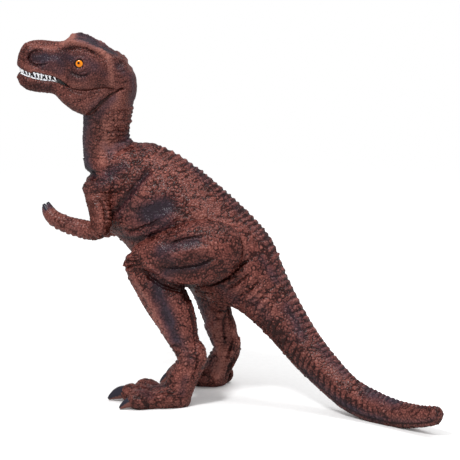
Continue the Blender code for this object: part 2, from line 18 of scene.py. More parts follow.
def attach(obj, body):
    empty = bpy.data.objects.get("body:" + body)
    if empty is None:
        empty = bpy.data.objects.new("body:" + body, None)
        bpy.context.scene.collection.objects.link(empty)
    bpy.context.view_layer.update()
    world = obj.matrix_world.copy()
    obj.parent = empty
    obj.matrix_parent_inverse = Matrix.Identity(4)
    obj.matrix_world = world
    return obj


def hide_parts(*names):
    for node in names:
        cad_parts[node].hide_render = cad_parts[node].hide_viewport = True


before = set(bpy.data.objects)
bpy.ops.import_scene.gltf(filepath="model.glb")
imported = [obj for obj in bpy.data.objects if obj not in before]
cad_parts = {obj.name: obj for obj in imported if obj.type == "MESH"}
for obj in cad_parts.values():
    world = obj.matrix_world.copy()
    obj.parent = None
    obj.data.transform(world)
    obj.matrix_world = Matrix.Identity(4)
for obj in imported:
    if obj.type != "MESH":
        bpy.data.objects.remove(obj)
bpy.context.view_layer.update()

# The CAD's sizes in millimetres
LENGTH = 154.0
HEIGHT = 122.0
STANCE = 31.0
TAIL_SWING = 23.0
FOOT = 28.0
SHIFT = 0.0033 * LENGTH
BODY_DEPTH = 0.300 * HEIGHT
BODY_BREADTH = 0.205 * HEIGHT
HEAD_LENGTH = 0.2013 * LENGTH
HEAD_HEIGHT = 0.1525 * HEIGHT
HEAD_BREADTH = 0.1344 * HEIGHT
JAW_DEPTH = 0.0656 * HEIGHT
HEAD_ASIDE = 0.0328 * HEIGHT
THIGH = (0.180 * HEIGHT, 0.123 * HEIGHT)
SHANK = (0.136 * HEIGHT, 0.090 * HEIGHT)
ARM = (0.0656 * HEIGHT, 0.0574 * HEIGHT)
TOE_DEPTH = 0.0656 * HEIGHT
HEAD_TURN = math.radians(22)
JAW_OPENS = math.radians(8)
JAW_CLOSES = math.radians(0.5)
# The gap where castings fit, the thickness of the jaw's flaps, and the hinge boss's radius
FIT_GAP = 0.3
FLAP = 2.4
BOSS = 2.4

# The tables hold shares of the sizes above
# Spine: place, half depth, half breadth, and the section's turn and rise
SPINE = [
    (-0.283, -0.18, 0.856, 0.17, 0.20, 1.00, -0.15),
    (-0.317, -0.19, 0.800, 0.228, 0.24, 1.00, -0.08),
    (-0.325, -0.15, 0.755, 0.216, 0.26, 0.85, -0.02),
    (-0.330, -0.10, 0.710, 0.220, 0.27, 0.60, 0.09),
    (-0.327, -0.05, 0.670, 0.250, 0.295, 0.35, 0.24),
    (-0.313, -0.02, 0.642, 0.330, 0.36, 0.15, 0.37),
    (-0.301, 0.00, 0.608, 0.436, 0.42, 0.0, 0.48),
    (-0.259, 0.00, 0.566, 0.508, 0.48, 0.0, 0.50),
    (-0.208, 0.00, 0.528, 0.517, 0.50, 0.0, 0.47),
    (-0.140, 0.00, 0.458, 0.538, 0.50, 0.0, 0.49),
    (-0.075, 0.00, 0.408, 0.490, 0.49, 0.0, 0.51),
    (-0.019, 0.00, 0.364, 0.418, 0.44, 0.0, 0.53),
    (0.024, 0.00, 0.317, 0.304, 0.36, -0.1, 0.45),
    (0.061, -0.02, 0.270, 0.244, 0.315, -0.3, 0.47),
    (0.087, -0.04, 0.233, 0.218, 0.285, -0.38, 0.47),
    (0.117, -0.07, 0.191, 0.197, 0.26, -0.43, 0.49),
    (0.153, -0.12, 0.147, 0.184, 0.24, -0.6, 0.56),
    (0.210, -0.22, 0.092, 0.165, 0.205, -0.7, 0.62),
    (0.254, -0.31, 0.059, 0.160, 0.19, -0.83, 0.74),
    (0.316, -0.45, 0.038, 0.148, 0.175, -0.95, 0.89),
    (0.379, -0.62, 0.032, 0.124, 0.155, -1.08, 1.01),
    (0.441, -0.82, 0.038, 0.102, 0.13, -1.11, 1.10),
    (0.484, -0.96, 0.047, 0.088, 0.11, -1.14, 1.14),
    (0.500, -1.02, 0.053, 0.070, 0.085, -1.14, 1.15),
    (0.508, -1.05, 0.056, 0.028, 0.04, -1.14, 1.15),
]
# Rows of the spine where the castings meet, and how far the skins of head and torso lap there
NECK_SEAM = 4
TAIL_SEAM = 12
SEAM_LAP = 0.45
BACK_PINCH = 0.28

# Ahead, heights of lip, ridge and roof, and half breadths of lip, cheek and ridge
SKULL = [
    (1.000, 0.530, 0.552, 0.565, 0.06, 0.07, 0.05),
    (0.978, 0.500, 0.650, 0.695, 0.13, 0.145, 0.11),
    (0.926, 0.455, 0.755, 0.840, 0.20, 0.215, 0.165),
    (0.848, 0.393, 0.800, 0.905, 0.25, 0.262, 0.195),
    (0.732, 0.343, 0.805, 0.922, 0.285, 0.293, 0.207),
    (0.603, 0.302, 0.795, 0.897, 0.317, 0.323, 0.232),
    (0.494, 0.205, 0.840, 0.897, 0.354, 0.366, 0.28),
    (0.410, 0.105, 0.945, 0.935, 0.396, 0.427, 0.341),
    (0.323, 0.075, 1.000, 0.955, 0.433, 0.476, 0.378),
    (0.216, 0.075, 0.945, 0.905, 0.457, 0.50, 0.39),
    (0.087, 0.105, 0.820, 0.790, 0.463, 0.50, 0.384),
    (-0.042, 0.085, 0.700, 0.690, 0.445, 0.47, 0.354),
    (-0.155, 0.030, 0.585, 0.580, 0.402, 0.409, 0.305),
    (-0.250, 0.016, 0.470, 0.480, 0.305, 0.305, 0.213),
]

# Ahead, heights of lip and underside, and half breadth
JAW = [
    (1.000, 0.285, 0.58, 0.055),
    (0.968, 0.335, 0.30, 0.134),
    (0.903, 0.300, 0.106, 0.195),
    (0.816, 0.255, 0.01, 0.238),
    (0.710, 0.225, -0.03, 0.268),
    (0.603, 0.215, -0.09, 0.299),
    (0.516, 0.165, -0.425, 0.329),
    (0.429, 0.115, -0.70, 0.366),
    (0.332, 0.078, -0.90, 0.415),
    (0.235, 0.075, -0.98, 0.445),
    (0.139, 0.105, -0.79, 0.457),
    (0.065, 0.125, -0.46, 0.452),
    (0.000, 0.115, -0.26, 0.44),
    (-0.065, 0.090, -0.08, 0.41),
]

# Thighs, shanks and arms: place, half depth and half breadth
LEFT_THIGH = [
    (-0.245, -0.98, 0.388, 0.04, 0.08),
    (-0.239, -0.98, 0.389, 0.12, 0.22),
    (-0.226, -0.98, 0.396, 0.17, 0.33),
    (-0.205, -0.98, 0.405, 0.25, 0.42),
    (-0.180, -0.96, 0.411, 0.31, 0.47),
    (-0.149, -0.94, 0.416, 0.39, 0.50),
    (-0.109, -0.91, 0.423, 0.48, 0.50),
    (-0.070, -0.86, 0.432, 0.50, 0.46),
    (-0.033, -0.76, 0.444, 0.44, 0.38),
    (-0.005, -0.66, 0.454, 0.30, 0.26),
    (0.008, -0.62, 0.458, 0.12, 0.10),
]
RIGHT_THIGH = [
    (-0.245, -0.98, 0.388, 0.04, 0.08),
    (-0.239, -0.98, 0.389, 0.12, 0.22),
    (-0.226, -0.98, 0.394, 0.17, 0.33),
    (-0.205, -0.98, 0.402, 0.25, 0.42),
    (-0.180, -0.96, 0.406, 0.31, 0.47),
    (-0.149, -0.94, 0.410, 0.38, 0.50),
    (-0.109, -0.91, 0.415, 0.45, 0.50),
    (-0.072, -0.86, 0.420, 0.46, 0.46),
    (-0.038, -0.76, 0.428, 0.40, 0.38),
    (-0.012, -0.66, 0.436, 0.27, 0.26),
    (0.001, -0.62, 0.440, 0.11, 0.10),
]
LEFT_SHANK = [
    (-0.235, -0.98, 0.412, 0.08, 0.15),
    (-0.230, -0.98, 0.397, 0.22, 0.33),
    (-0.211, -0.98, 0.375, 0.37, 0.44),
    (-0.176, -0.98, 0.333, 0.48, 0.50),
    (-0.152, -0.98, 0.289, 0.49, 0.49),
    (-0.134, -0.98, 0.249, 0.445, 0.45),
    (-0.119, -0.98, 0.203, 0.36, 0.39),
    (-0.109, -0.98, 0.171, 0.29, 0.36),
    (-0.096, -0.98, 0.138, 0.285, 0.37),
    (-0.105, -0.99, 0.100, 0.29, 0.36),
    (-0.120, -1.00, 0.062, 0.30, 0.40),
    (-0.129, -1.01, 0.030, 0.31, 0.44),
    (-0.131, -1.01, 0.004, 0.28, 0.42),
    (-0.131, -1.01, -0.012, 0.12, 0.20),
]
RIGHT_SHANK = [
    (-0.215, -0.98, 0.405, 0.10, 0.15),
    (-0.208, -0.98, 0.391, 0.25, 0.33),
    (-0.192, -0.98, 0.366, 0.37, 0.44),
    (-0.155, -0.98, 0.318, 0.42, 0.50),
    (-0.135, -0.98, 0.270, 0.39, 0.48),
    (-0.122, -0.98, 0.220, 0.35, 0.44),
    (-0.110, -0.98, 0.170, 0.31, 0.39),
    (-0.101, -0.98, 0.137, 0.28, 0.36),
    (-0.092, -0.98, 0.109, 0.28, 0.37),
    (-0.102, -0.99, 0.080, 0.28, 0.36),
    (-0.115, -1.00, 0.050, 0.28, 0.40),
    (-0.123, -1.01, 0.025, 0.28, 0.44),
    (-0.125, -1.01, 0.004, 0.25, 0.42),
    (-0.125, -1.01, -0.012, 0.12, 0.20),
]
# Forward, height and radius share of one toe without its claw
TOE = [
    (0.00, 0.34, 0.26),
    (0.10, 0.38, 0.42),
    (0.30, 0.38, 0.44),
    (0.42, 0.34, 0.38),
    (0.50, 0.35, 0.39),
    (0.62, 0.40, 0.44),
    (0.74, 0.38, 0.38),
    (0.80, 0.37, 0.27),
    (0.84, 0.36, 0.12),
]
# Forward share, height share, half height share and half breadth share of a claw
CLAW = [
    (0.70, 0.42, 0.20, 0.20),
    (0.76, 0.42, 0.27, 0.25),
    (0.83, 0.38, 0.27, 0.22),
    (0.90, 0.29, 0.22, 0.16),
    (0.96, 0.18, 0.14, 0.10),
    (1.005, 0.075, 0.06, 0.04),
]
# Each toe's angle in degrees and its length
TOES = [("inner", -23, 0.90), ("middle", 0, 1.0), ("outer", 28, 0.84)]
FOOT_SPLAY = 6
# Distance of a leg's middle from the figure's middle
LEG_ASIDE = 0.98 * STANCE / 2
HEELS = {"left": (-0.101, -0.99), "right": (-0.079, -0.99)}
TOE_ROOT = 0.10

LEFT_ARM = [
    (-0.333, -0.29, 0.598, 0.14, 0.14),
    (-0.331, -0.34, 0.585, 0.50, 0.40),
    (-0.328, -0.39, 0.566, 0.62, 0.52),
    (-0.320, -0.46, 0.530, 0.52, 0.52),
    (-0.314, -0.51, 0.500, 0.47, 0.50),
    (-0.313, -0.54, 0.478, 0.46, 0.48),
    (-0.332, -0.53, 0.464, 0.42, 0.44),
    (-0.373, -0.52, 0.470, 0.38, 0.40),
    (-0.403, -0.50, 0.477, 0.35, 0.37),
    (-0.427, -0.48, 0.488, 0.33, 0.34),
    (-0.441, -0.46, 0.503, 0.28, 0.30),
    (-0.447, -0.45, 0.521, 0.19, 0.22),
    (-0.449, -0.45, 0.532, 0.06, 0.08),
]
RIGHT_ARM = [
    (-0.333, 0.29, 0.598, 0.14, 0.14),
    (-0.331, 0.34, 0.585, 0.50, 0.40),
    (-0.328, 0.39, 0.566, 0.62, 0.52),
    (-0.314, 0.46, 0.530, 0.52, 0.52),
    (-0.300, 0.50, 0.500, 0.47, 0.50),
    (-0.295, 0.52, 0.476, 0.46, 0.48),
    (-0.305, 0.50, 0.458, 0.42, 0.44),
    (-0.333, 0.42, 0.440, 0.38, 0.40),
    (-0.357, 0.35, 0.430, 0.35, 0.37),
    (-0.375, 0.29, 0.425, 0.31, 0.34),
    (-0.388, 0.25, 0.428, 0.24, 0.30),
    (-0.397, 0.22, 0.436, 0.15, 0.22),
    (-0.400, 0.21, 0.442, 0.05, 0.08),
]

# The jaw hinge and the head's own frame: forward, to the figure's left, and up
HINGE = np.array((-0.315 * LENGTH - SHIFT, -HEAD_ASIDE, 0.841 * HEIGHT))
HEAD_AXES = np.array(
    (
        (-math.cos(HEAD_TURN), -math.sin(HEAD_TURN), 0),
        (math.sin(HEAD_TURN), -math.cos(HEAD_TURN), 0),
        (0, 0, 1),
    )
)

# The photograph's camera
LOOK_AT = np.array((-7.51, 0, 57.75))
YAW = math.radians(22)
ELEVATION = math.radians(12.5)
DISTANCE = 1800.0
PIXELS_PER_MM = 3.0
SENSOR = 36.0
FRAME_SIDE = 460.0
RIGHTWARD = np.array((math.cos(YAW), math.sin(YAW), 0))
UPWARD = np.array(
    (
        -math.sin(YAW) * math.sin(ELEVATION),
        math.cos(YAW) * math.sin(ELEVATION),
        math.cos(ELEVATION),
    )
)
BACKWARD = np.cross(RIGHTWARD, UPWARD)


def seen(points):
    """Where points in millimetres appear in the photograph, in its pixels."""
    from_target = points - LOOK_AT
    nearer = DISTANCE / (DISTANCE - from_target @ BACKWARD)
    x = FRAME_SIDE / 2 + PIXELS_PER_MM * (from_target @ RIGHTWARD) * nearer
    y = FRAME_SIDE / 2 - PIXELS_PER_MM * (from_target @ UPWARD) * nearer
    return np.stack((x, y), 1)


def placed(x, y, aside):
    """The point at a sideways distance from the figure's middle that shows at a pixel place."""
    right = (x - FRAME_SIDE / 2) / PIXELS_PER_MM
    up = (FRAME_SIDE / 2 - y) / PIXELS_PER_MM
    partial = LOOK_AT + RIGHTWARD * right + UPWARD * up
    return partial + BACKWARD * (aside - partial[1]) / BACKWARD[1]


# Chance and scatter


def chance(cell, seed):
    """A repeatable number from 0 to 1 for each lattice cell."""
    i, j, k = (cell[:, n].astype(np.int64).astype(np.uint32) for n in range(3))
    mixed = i * np.uint32(73856093) ^ j * np.uint32(19349663) ^ k * np.uint32(83492791)
    mixed ^= np.uint32((seed * 747796405 + 2891336453) % 2**32)
    mixed = (mixed ^ (mixed >> np.uint32(15))) * np.uint32(2246822519)
    mixed = (mixed ^ (mixed >> np.uint32(13))) * np.uint32(3266489917)
    mixed ^= mixed >> np.uint32(16)
    return mixed / 2.0**32


def noise(points, size, seed, octaves=3):
    """Smooth noise from -1 to 1."""
    total = np.zeros(len(points))
    weight = 1.0
    for octave in range(octaves):
        scaled = points / size * 2**octave + 37.3 * octave
        base = np.floor(scaled)
        part = scaled - base
        part = part * part * (3 - 2 * part)
        value = np.zeros(len(points))
        for step in product((0, 1), repeat=3):
            near = [part[:, n] if d else 1 - part[:, n] for n, d in enumerate(step)]
            value += near[0] * near[1] * near[2] * chance(base + step, seed + octave)
        total += weight * (2 * value - 1)
        weight *= 0.5
    return total / 1.75


def smooth(low, high, value):
    """Nought at the low end, one at the high end, and an even passage between them."""
    part = np.clip((value - low) / (high - low), 0, 1)
    return part * part * (3 - 2 * part)


def hump(value, width):
    """One at nought, falling off to both sides."""
    return np.exp(-((value / width) ** 2))


def pushed(points, normals, amount):
    """Points moved along their normals, each by its own amount in mm."""
    return points + normals * amount[:, None]


def scatter(points, spacing, seed, allowed=None):
    """Indices of points spread about evenly, no two closer than three quarters of the spacing."""
    keys = np.floor(points / spacing).astype(np.int64)
    order = np.argsort(chance(np.round(points * 40), seed), kind="stable")
    if allowed is not None:
        order = order[allowed[order]]
    span = 4096
    packed = ((keys[:, 0] + 2048) * span + keys[:, 1] + 2048) * span + keys[:, 2] + 2048
    _, firsts = np.unique(packed[order], return_index=True)
    candidates = order[np.sort(firsts)]
    grid = {}
    chosen = []
    limit = (0.75 * spacing) ** 2
    steps = list(product((-1, 0, 1), repeat=3))
    for index in candidates:
        place = points[index]
        i, j, k = keys[index]
        close = False
        for a, b, c in steps:
            other = grid.get((i + a, j + b, k + c))
            if other is not None:
                gap = place - other
                if gap @ gap < limit:
                    close = True
                    break
        if not close:
            grid[(i, j, k)] = place
            chosen.append(index)
    return np.array(chosen)


def nearest_two(points, seeds):
    """For each point, the distances to its two nearest seeds and the nearest one's number."""
    tree = KDTree(len(seeds))
    for number, seed in enumerate(seeds):
        tree.insert(seed, number)
    tree.balance()
    found = [tree.find_n(point, 2) for point in points.tolist()]
    first = np.array([pair[0][2] for pair in found])
    second = np.array([pair[1][2] for pair in found])
    own = np.array([pair[0][1] for pair in found])
    return first, second, own


# Lofts


def bend(a, b, c, d, part, pull=1.0):
    """A point some part of the way from b to c, on a smooth curve through four points."""
    square, cube = part**2, part**3
    return (
        b
        + pull * (c - a) * (cube - 2 * square + part) / 2
        + (c - b) * (3 * square - 2 * cube)
        + pull * (d - b) * (cube - square) / 2
    )


def between(rows, position):
    """The row of a table at a position between two of its rows."""
    last = len(rows) - 1
    first = min(int(position), last - 1)
    part = position - first
    a, b = rows[max(first - 1, 0)], rows[first]
    c, d = rows[first + 1], rows[min(first + 2, last)]
    return bend(a, b, c, d, part)


def sections(rows, start, end, per_row):
    """Sections of a table of rows, with the direction of the line there."""
    rows = np.asarray(rows, float)
    count = max(round((end - start) * per_row), 1)
    last = len(rows) - 1
    made = []
    for i in range(count + 1):
        position = start + (end - start) * i / count
        before = between(rows, max(position - 0.05, 0))[:3]
        after = between(rows, min(position + 0.05, last))[:3]
        along = after - before
        made.append((position, between(rows, position), along / np.linalg.norm(along)))
    return made


def oval(centre, sideways, upward, half_depth, half_breadth, sides, pinch=0.0):
    angles = np.arange(sides) * 2 * math.pi / sides
    narrowing = 1 - pinch * np.maximum(np.sin(angles), 0) ** 2
    return (
        centre
        + np.outer(half_breadth * np.cos(angles) * narrowing, sideways)
        + np.outer(half_depth * np.sin(angles), upward)
    )


def spine_rows():
    x, y, z, depth, breadth, turn, rise = np.array(SPINE).T
    return np.stack(
        (
            x * LENGTH - SHIFT,
            y * TAIL_SWING,
            z * HEIGHT,
            depth * BODY_DEPTH,
            breadth * BODY_BREADTH,
            turn * HEAD_TURN,
            rise * math.pi / 2,
        ),
        1,
    )


def facing(row):
    turn, rise = row[5], row[6]
    sideways = np.array((-math.sin(turn), math.cos(turn), 0))
    upward = np.array(
        (math.cos(turn) * math.cos(rise), math.sin(turn) * math.cos(rise), math.sin(rise))
    )
    return sideways, upward


def axes_of(row):
    """Along the body, sideways and upward."""
    sideways, upward = facing(row)
    return np.cross(sideways, upward), sideways, upward


def spine_rings(start, end):
    rings = []
    for _, row, _ in sections(spine_rows(), start, end, 6):
        sideways, upward = facing(row)
        rings.append(oval(row[:3], sideways, upward, row[3], row[4], 72, BACK_PINCH))
    return rings


def limb_rings(rows, sides, per_row, turn=0.0):
    across = np.array((-math.sin(turn), math.cos(turn), 0))
    rings = []
    for _, row, along in sections(rows, 0, len(rows) - 1, per_row):
        sideways = across - along * (across @ along)
        sideways /= np.linalg.norm(sideways)
        upward = np.cross(along, sideways)
        rings.append(oval(row[:3], sideways, upward, row[3], row[4], sides))
    return rings


def leg_rows(shares, side, depth, breadth):
    return [
        (x * LENGTH - SHIFT, -side * y * STANCE / 2, z * HEIGHT, d * depth, b * breadth)
        for x, y, z, d, b in shares
    ]


def arm_rows(shares):
    return [
        (x * LENGTH - SHIFT, y * BODY_BREADTH, z * HEIGHT, d * ARM[0], b * ARM[1])
        for x, y, z, d, b in shares
    ]


def from_head(points):
    return HINGE + np.asarray(points, float) @ HEAD_AXES


def to_head(points):
    """Points in the head's frame: ahead of the hinge, to the figure's left, and above it."""
    return (points - HINGE) @ HEAD_AXES.T


def skull_rings():
    rings = []
    for _, row, _ in sections(SKULL, 0, len(SKULL) - 1, 5):
        ahead = row[0] * HEAD_LENGTH
        lip, ridge, roof = row[1:4] * HEAD_HEIGHT
        lip_side, cheek_side, ridge_side = row[4:7] * HEAD_BREADTH
        cheek = (lip + ridge) / 2
        half = [
            (0.4 * lip_side, lip),
            (0.85 * lip_side, lip),
            (lip_side, lip + 0.12 * (ridge - lip)),
            (cheek_side, cheek - 0.1 * (ridge - lip)),
            (0.96 * cheek_side, cheek + 0.2 * (ridge - lip)),
            (1.05 * ridge_side, ridge - 0.06 * (ridge - lip)),
            (0.9 * ridge_side, ridge),
            (0.4 * ridge_side, roof),
        ]
        rings.append(closed_curve(half, ahead))
    return rings


def closed_curve(half, ahead, fineness=6):
    """A smooth closed ring in the head's frame through half a section and its mirror image."""
    loop = [(ahead, side, up) for side, up in half]
    loop = np.array(loop + [(ahead, -side, up) for side, up in reversed(half)])
    count = len(loop)
    ring = []
    for i in range(count):
        corners = [loop[(i + n) % count] for n in (-1, 0, 1, 2)]
        ring += [bend(*corners, part, 0.6) for part in np.arange(fineness) / fineness]
    return from_head(ring)


def jaw_rings(grow, opens, closes):
    rings = []
    for _, row, _ in sections(JAW, 0, len(JAW) - 1, 5):
        ahead = row[0] * HEAD_LENGTH
        rise = max(ahead, 0) * math.sin(closes)
        drop = max(ahead, 0) * math.sin(opens)
        lip = row[1] * HEAD_HEIGHT + rise + grow
        under = row[2] * JAW_DEPTH - drop - grow
        side = row[3] * HEAD_BREADTH + grow
        half = [
            (0.35 * side, under),
            (0.72 * side, under + 0.10 * (lip - under)),
            (0.95 * side, under + 0.35 * (lip - under)),
            (side, under + 0.70 * (lip - under)),
            (0.98 * side, lip),
            (0.5 * side, lip),
        ]
        rings.append(closed_curve(half, ahead))
    rings[0] = rings[0] + HEAD_AXES[0] * grow
    rings[-1] = rings[-1] - HEAD_AXES[0] * grow
    return rings


def shell(rings):
    """Points and faces of a closed solid through rings."""
    count = len(rings[0])
    points = np.concatenate(rings)
    faces = []
    for ring in range(len(rings) - 1):
        here, there = ring * count, (ring + 1) * count
        for i in range(count):
            j = (i + 1) % count
            faces.append((here + i, here + j, there + j, there + i))
    last = (len(rings) - 1) * count
    faces.append(tuple(range(count - 1, -1, -1)))
    faces.append(tuple(range(last, last + count)))
    return points, faces


def joined(shells):
    points = []
    faces = []
    start = 0
    for own_points, own_faces in shells:
        points.append(own_points)
        faces += [tuple(start + i for i in face) for face in own_faces]
        start += len(own_points)
    return np.concatenate(points), faces


def box_shell(low, high):
    """A box in the head's frame, from its low and high corner."""
    faces = [(0, 1, 3, 2), (4, 6, 7, 5), (0, 4, 5, 1), (2, 3, 7, 6), (0, 2, 6, 4), (1, 5, 7, 3)]
    return from_head(list(product(*zip(low, high)))), faces


def rod_shell(start, end, radius):
    """A round rod, closed at both ends."""
    along = (end - start) / np.linalg.norm(end - start)
    aside = np.cross(along, (0.31, 0.2, 0.93))
    aside /= np.linalg.norm(aside)
    across = np.cross(along, aside)
    return shell([oval(place, aside, across, radius, radius, 24) for place in (start, end)])


def in_scene(name, data):
    held = bpy.data.objects.new(name, data)
    bpy.context.scene.collection.objects.link(held)
    return held


def object_of(name, made):
    points, faces = made
    mesh = bpy.data.meshes.new(name)
    mesh.from_pydata(points.tolist(), [], faces)
    return in_scene(name, mesh)


def remeshed(shells, voxel, cutters=()):
    """Overlapping closed shells as one even skin of quads, in millimetres."""
    work = object_of("work", joined(shells))
    tools = []
    for number, cutter in enumerate(cutters):
        tool = object_of(f"tool_{number}", cutter)
        cut = work.modifiers.new("cut", "BOOLEAN")
        cut.operation = "DIFFERENCE"
        cut.solver = "EXACT"
        cut.use_self = True
        cut.object = tool
        tools.append(tool)
    skin = work.modifiers.new("skin", "REMESH")
    skin.mode = "VOXEL"
    skin.voxel_size = voxel
    skin.adaptivity = 0
    graph = bpy.context.evaluated_depsgraph_get()
    done = work.evaluated_get(graph)
    mesh = done.to_mesh()
    points = np.empty(len(mesh.vertices) * 3)
    mesh.vertices.foreach_get("co", points)
    corners = np.empty(len(mesh.loops), np.int32)
    mesh.loops.foreach_get("vertex_index", corners)
    if len(mesh.loops) != 4 * len(mesh.polygons):
        raise ValueError("the remeshed skin has faces that aren't quads")
    done.to_mesh_clear()
    for held in [work, *tools]:
        data = held.data
        bpy.data.objects.remove(held)
        bpy.data.meshes.remove(data)
    return points.reshape(-1, 3), corners.reshape(-1, 4)


def normals_of(points, quads):
    a, b, c, d = (points[quads[:, i]] for i in range(4))
    facet = np.cross(c - a, d - b)
    total = np.zeros_like(points)
    for i in range(4):
        for axis in range(3):
            total[:, axis] += np.bincount(quads[:, i], facet[:, axis], len(points))
    return total / np.maximum(np.linalg.norm(total, axis=1), 1e-12)[:, None]


def relaxed(points, quads, rounds):
    """Points drawn halfway to the mean of their neighbours, some rounds over."""
    starts = np.concatenate([quads[:, i] for i in range(4)])
    ends = np.concatenate([quads[:, (i + 1) % 4] for i in range(4)])
    here = np.concatenate((starts, ends))
    there = np.concatenate((ends, starts))
    count = np.bincount(here, minlength=len(points))
    for _ in range(rounds):
        mean = np.stack(
            [np.bincount(here, points[there, axis], len(points)) for axis in range(3)], 1
        )
        points = points + 0.5 * (mean / count[:, None] - points)
    return points


# Strokes in the photograph's pixels

# How far strokes stray from their lines, in pixels
STROKE_WAVER = 0.9


def reach(pixels, line):
    """Distance of each pixel place to a line through points, and the share of the line there."""
    if len(line) == 1:
        return np.linalg.norm(pixels - line[0], axis=1), 0.5
    best = np.full(len(pixels), np.inf)
    share = np.zeros(len(pixels))
    for number, (start, end) in enumerate(zip(line, line[1:])):
        start, end = np.array(start, float), np.array(end, float)
        run = end - start
        part = np.clip((pixels - start) @ run / (run @ run), 0, 1)
        far = np.linalg.norm(pixels - start - part[:, None] * run, axis=1)
        share = np.where(far < best, (number + part) / (len(line) - 1), share)
        best = np.minimum(best, far)
    return best, share


def painted(pixels, strokes):
    """Sum of soft strokes, each an amount, a radius in pixels and a line; thin ones run out."""
    flat = np.column_stack((pixels, np.zeros(len(pixels))))
    waver = np.stack([noise(flat, 5.0, seed, 2) for seed in (91, 92)], 1)
    pixels = pixels + STROKE_WAVER * waver
    total = np.zeros(len(pixels))
    for amount, radius, line in strokes:
        far, share = reach(pixels, line)
        thin = radius < 2 and len(line) > 2
        full = smooth(0, 0.25, share) * smooth(1, 0.75, share) if thin else 1
        total += amount * (0.2 + 0.8 * full) * hump(far, radius)
    return total


# Scales and knobs: their spacing, and the knobs' least and greatest radius and height
SCALE_SPACING = 0.85
KNOB_SPACING = 1.65
BODY_KNOBS = (0.30, 0.66, 0.30)
LEG_KNOBS = (0.30, 0.62, 0.28)
ARM_KNOBS = (0.35, 0.62, 0.20)
FACE_KNOBS = (0.35, 0.60, 0.18)


def scales(points, spacing, seeds, height, amount=1.0):
    """Small cobbled scales: displacement in mm, and relief from -1 in grooves to 1 on domes."""
    first, second, own = nearest_two(points, seeds)
    border = (second - first) / spacing
    dome = smooth(0.0, 0.55, border)
    uneven = 0.75 + 0.5 * chance(np.stack((own, own, own), 1), 5)
    return height * amount * (dome * uneven - 0.5), 2 * dome * uneven - 1


def knob_places(points, spacing, seed, share, allowed=None):
    """A share of evenly spread places, more of them in some patches than in others."""
    picked = scatter(points, spacing, seed, allowed)
    luck = chance(np.stack((picked, picked, picked), 1), seed + 3)
    crowd = share + 0.8 * noise(points[picked], 7.5, seed + 4, 2)
    return points[picked[luck < crowd]]


def knobs(points, places, low, high, height):
    """Roundish knobs, each in a shallow ring that is broken in places."""
    first, _, own = nearest_two(points, places)
    first = first + 0.16 * noise(points, 1.1, 6, 1)
    keys = np.round(places[own] * 20)
    radius = low + (high - low) * chance(keys, 9)
    part = first / radius
    dome = np.sqrt(np.clip(1 - part**2, 0, 1))
    ring = hump(part - 1.25, 0.30)
    ring = ring * (0.15 + 1.0 * smooth(-0.35, 0.45, noise(points, 0.9, 7, 1)))
    return height * radius / high * (dome - 0.60 * ring), 0.40 * dome - 1.15 * ring


# Finished pieces


def put(name, points, faces, body, material, masks=None, nodes=()):
    """A finished piece: its mesh in metres, its paint masks, its material and what carries it."""
    mesh = bpy.data.meshes.new(name)
    points = np.asarray(points) / 1000
    if isinstance(faces, np.ndarray):
        mesh.vertices.add(len(points))
        mesh.vertices.foreach_set("co", points.astype(np.float32).ravel())
        mesh.loops.add(faces.size)
        mesh.loops.foreach_set("vertex_index", faces.astype(np.int32).ravel())
        mesh.polygons.add(len(faces))
        mesh.polygons.foreach_set("loop_start", np.arange(0, faces.size, 4, dtype=np.int32))
        mesh.update(calc_edges=True)
    else:
        mesh.from_pydata(points.tolist(), [], faces)
    mesh.validate()
    mesh.polygons.foreach_set("use_smooth", [True] * len(mesh.polygons))
    if masks is not None:
        layer = mesh.attributes.new("masks", "FLOAT_COLOR", "POINT")
        colours = np.ones((len(points), 4), np.float32)
        colours[:, :3] = masks
        layer.data.foreach_set("color", colours.ravel())
    mesh.update()
    piece = in_scene(name, mesh)
    mesh.materials.append(material)
    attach(piece, body)
    if nodes:
        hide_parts(*nodes)


def mask_colours(patch, relief, dark=0.0):
    """Masks for the vinyl: sprayed patches, relief round a half, which darkens grooves and
    lightens knobs partly as painted shade and painted highlight, and the mouth's dark.
    """
    return np.clip(np.stack(np.broadcast_arrays(patch, 0.5 + 0.5 * relief, dark), 1), 0, 1)


def one_mask(values):
    """Masks for the other paints, which use only the first."""
    masks = np.zeros((len(values), 3))
    masks[:, 0] = values
    return masks


def put_skin(name, node, points, quads, body, material, masks):
    """A casting's skin, of which only the points in use are kept."""
    used, numbers = np.unique(quads, return_inverse=True)
    quads = numbers.reshape(quads.shape)
    put(name, points[used], quads, body, material, masks[used], [node])


# Materials


def nodes_of(name):
    material = bpy.data.materials.new(name)
    material.use_nodes = True
    tree = material.node_tree
    return material, tree, tree.nodes["Principled BSDF"]


def ramp(tree, source, stops):
    node = tree.nodes.new("ShaderNodeValToRGB")
    elements = node.color_ramp.elements
    elements[0].position, elements[0].color = stops[0][0], (*stops[0][1], 1)
    elements[1].position, elements[1].color = stops[-1][0], (*stops[-1][1], 1)
    for position, colour in stops[1:-1]:
        elements.new(position).color = (*colour, 1)
    tree.links.new(source, node.inputs["Fac"])
    return node.outputs["Color"]


def mix(tree, factor, a, b, blend="MIX"):
    node = tree.nodes.new("ShaderNodeMix")
    node.data_type = "RGBA"
    node.blend_type = blend
    for name, value in (("Factor", factor), ("A", a), ("B", b)):
        socket = next(s for s in node.inputs if s.name == name and s.enabled)
        if isinstance(value, (int, float)):
            socket.default_value = value
        elif isinstance(value, tuple):
            socket.default_value = (*value, 1)
        else:
            tree.links.new(value, socket)
    return next(s for s in node.outputs if s.enabled)


def maths(tree, operation, a, b=0.0, c=0.0):
    node = tree.nodes.new("ShaderNodeMath")
    node.operation = operation
    for socket, value in zip(node.inputs, (a, b, c)):
        if isinstance(value, (int, float)):
            socket.default_value = value
        else:
            tree.links.new(value, socket)
    return node.outputs[0]


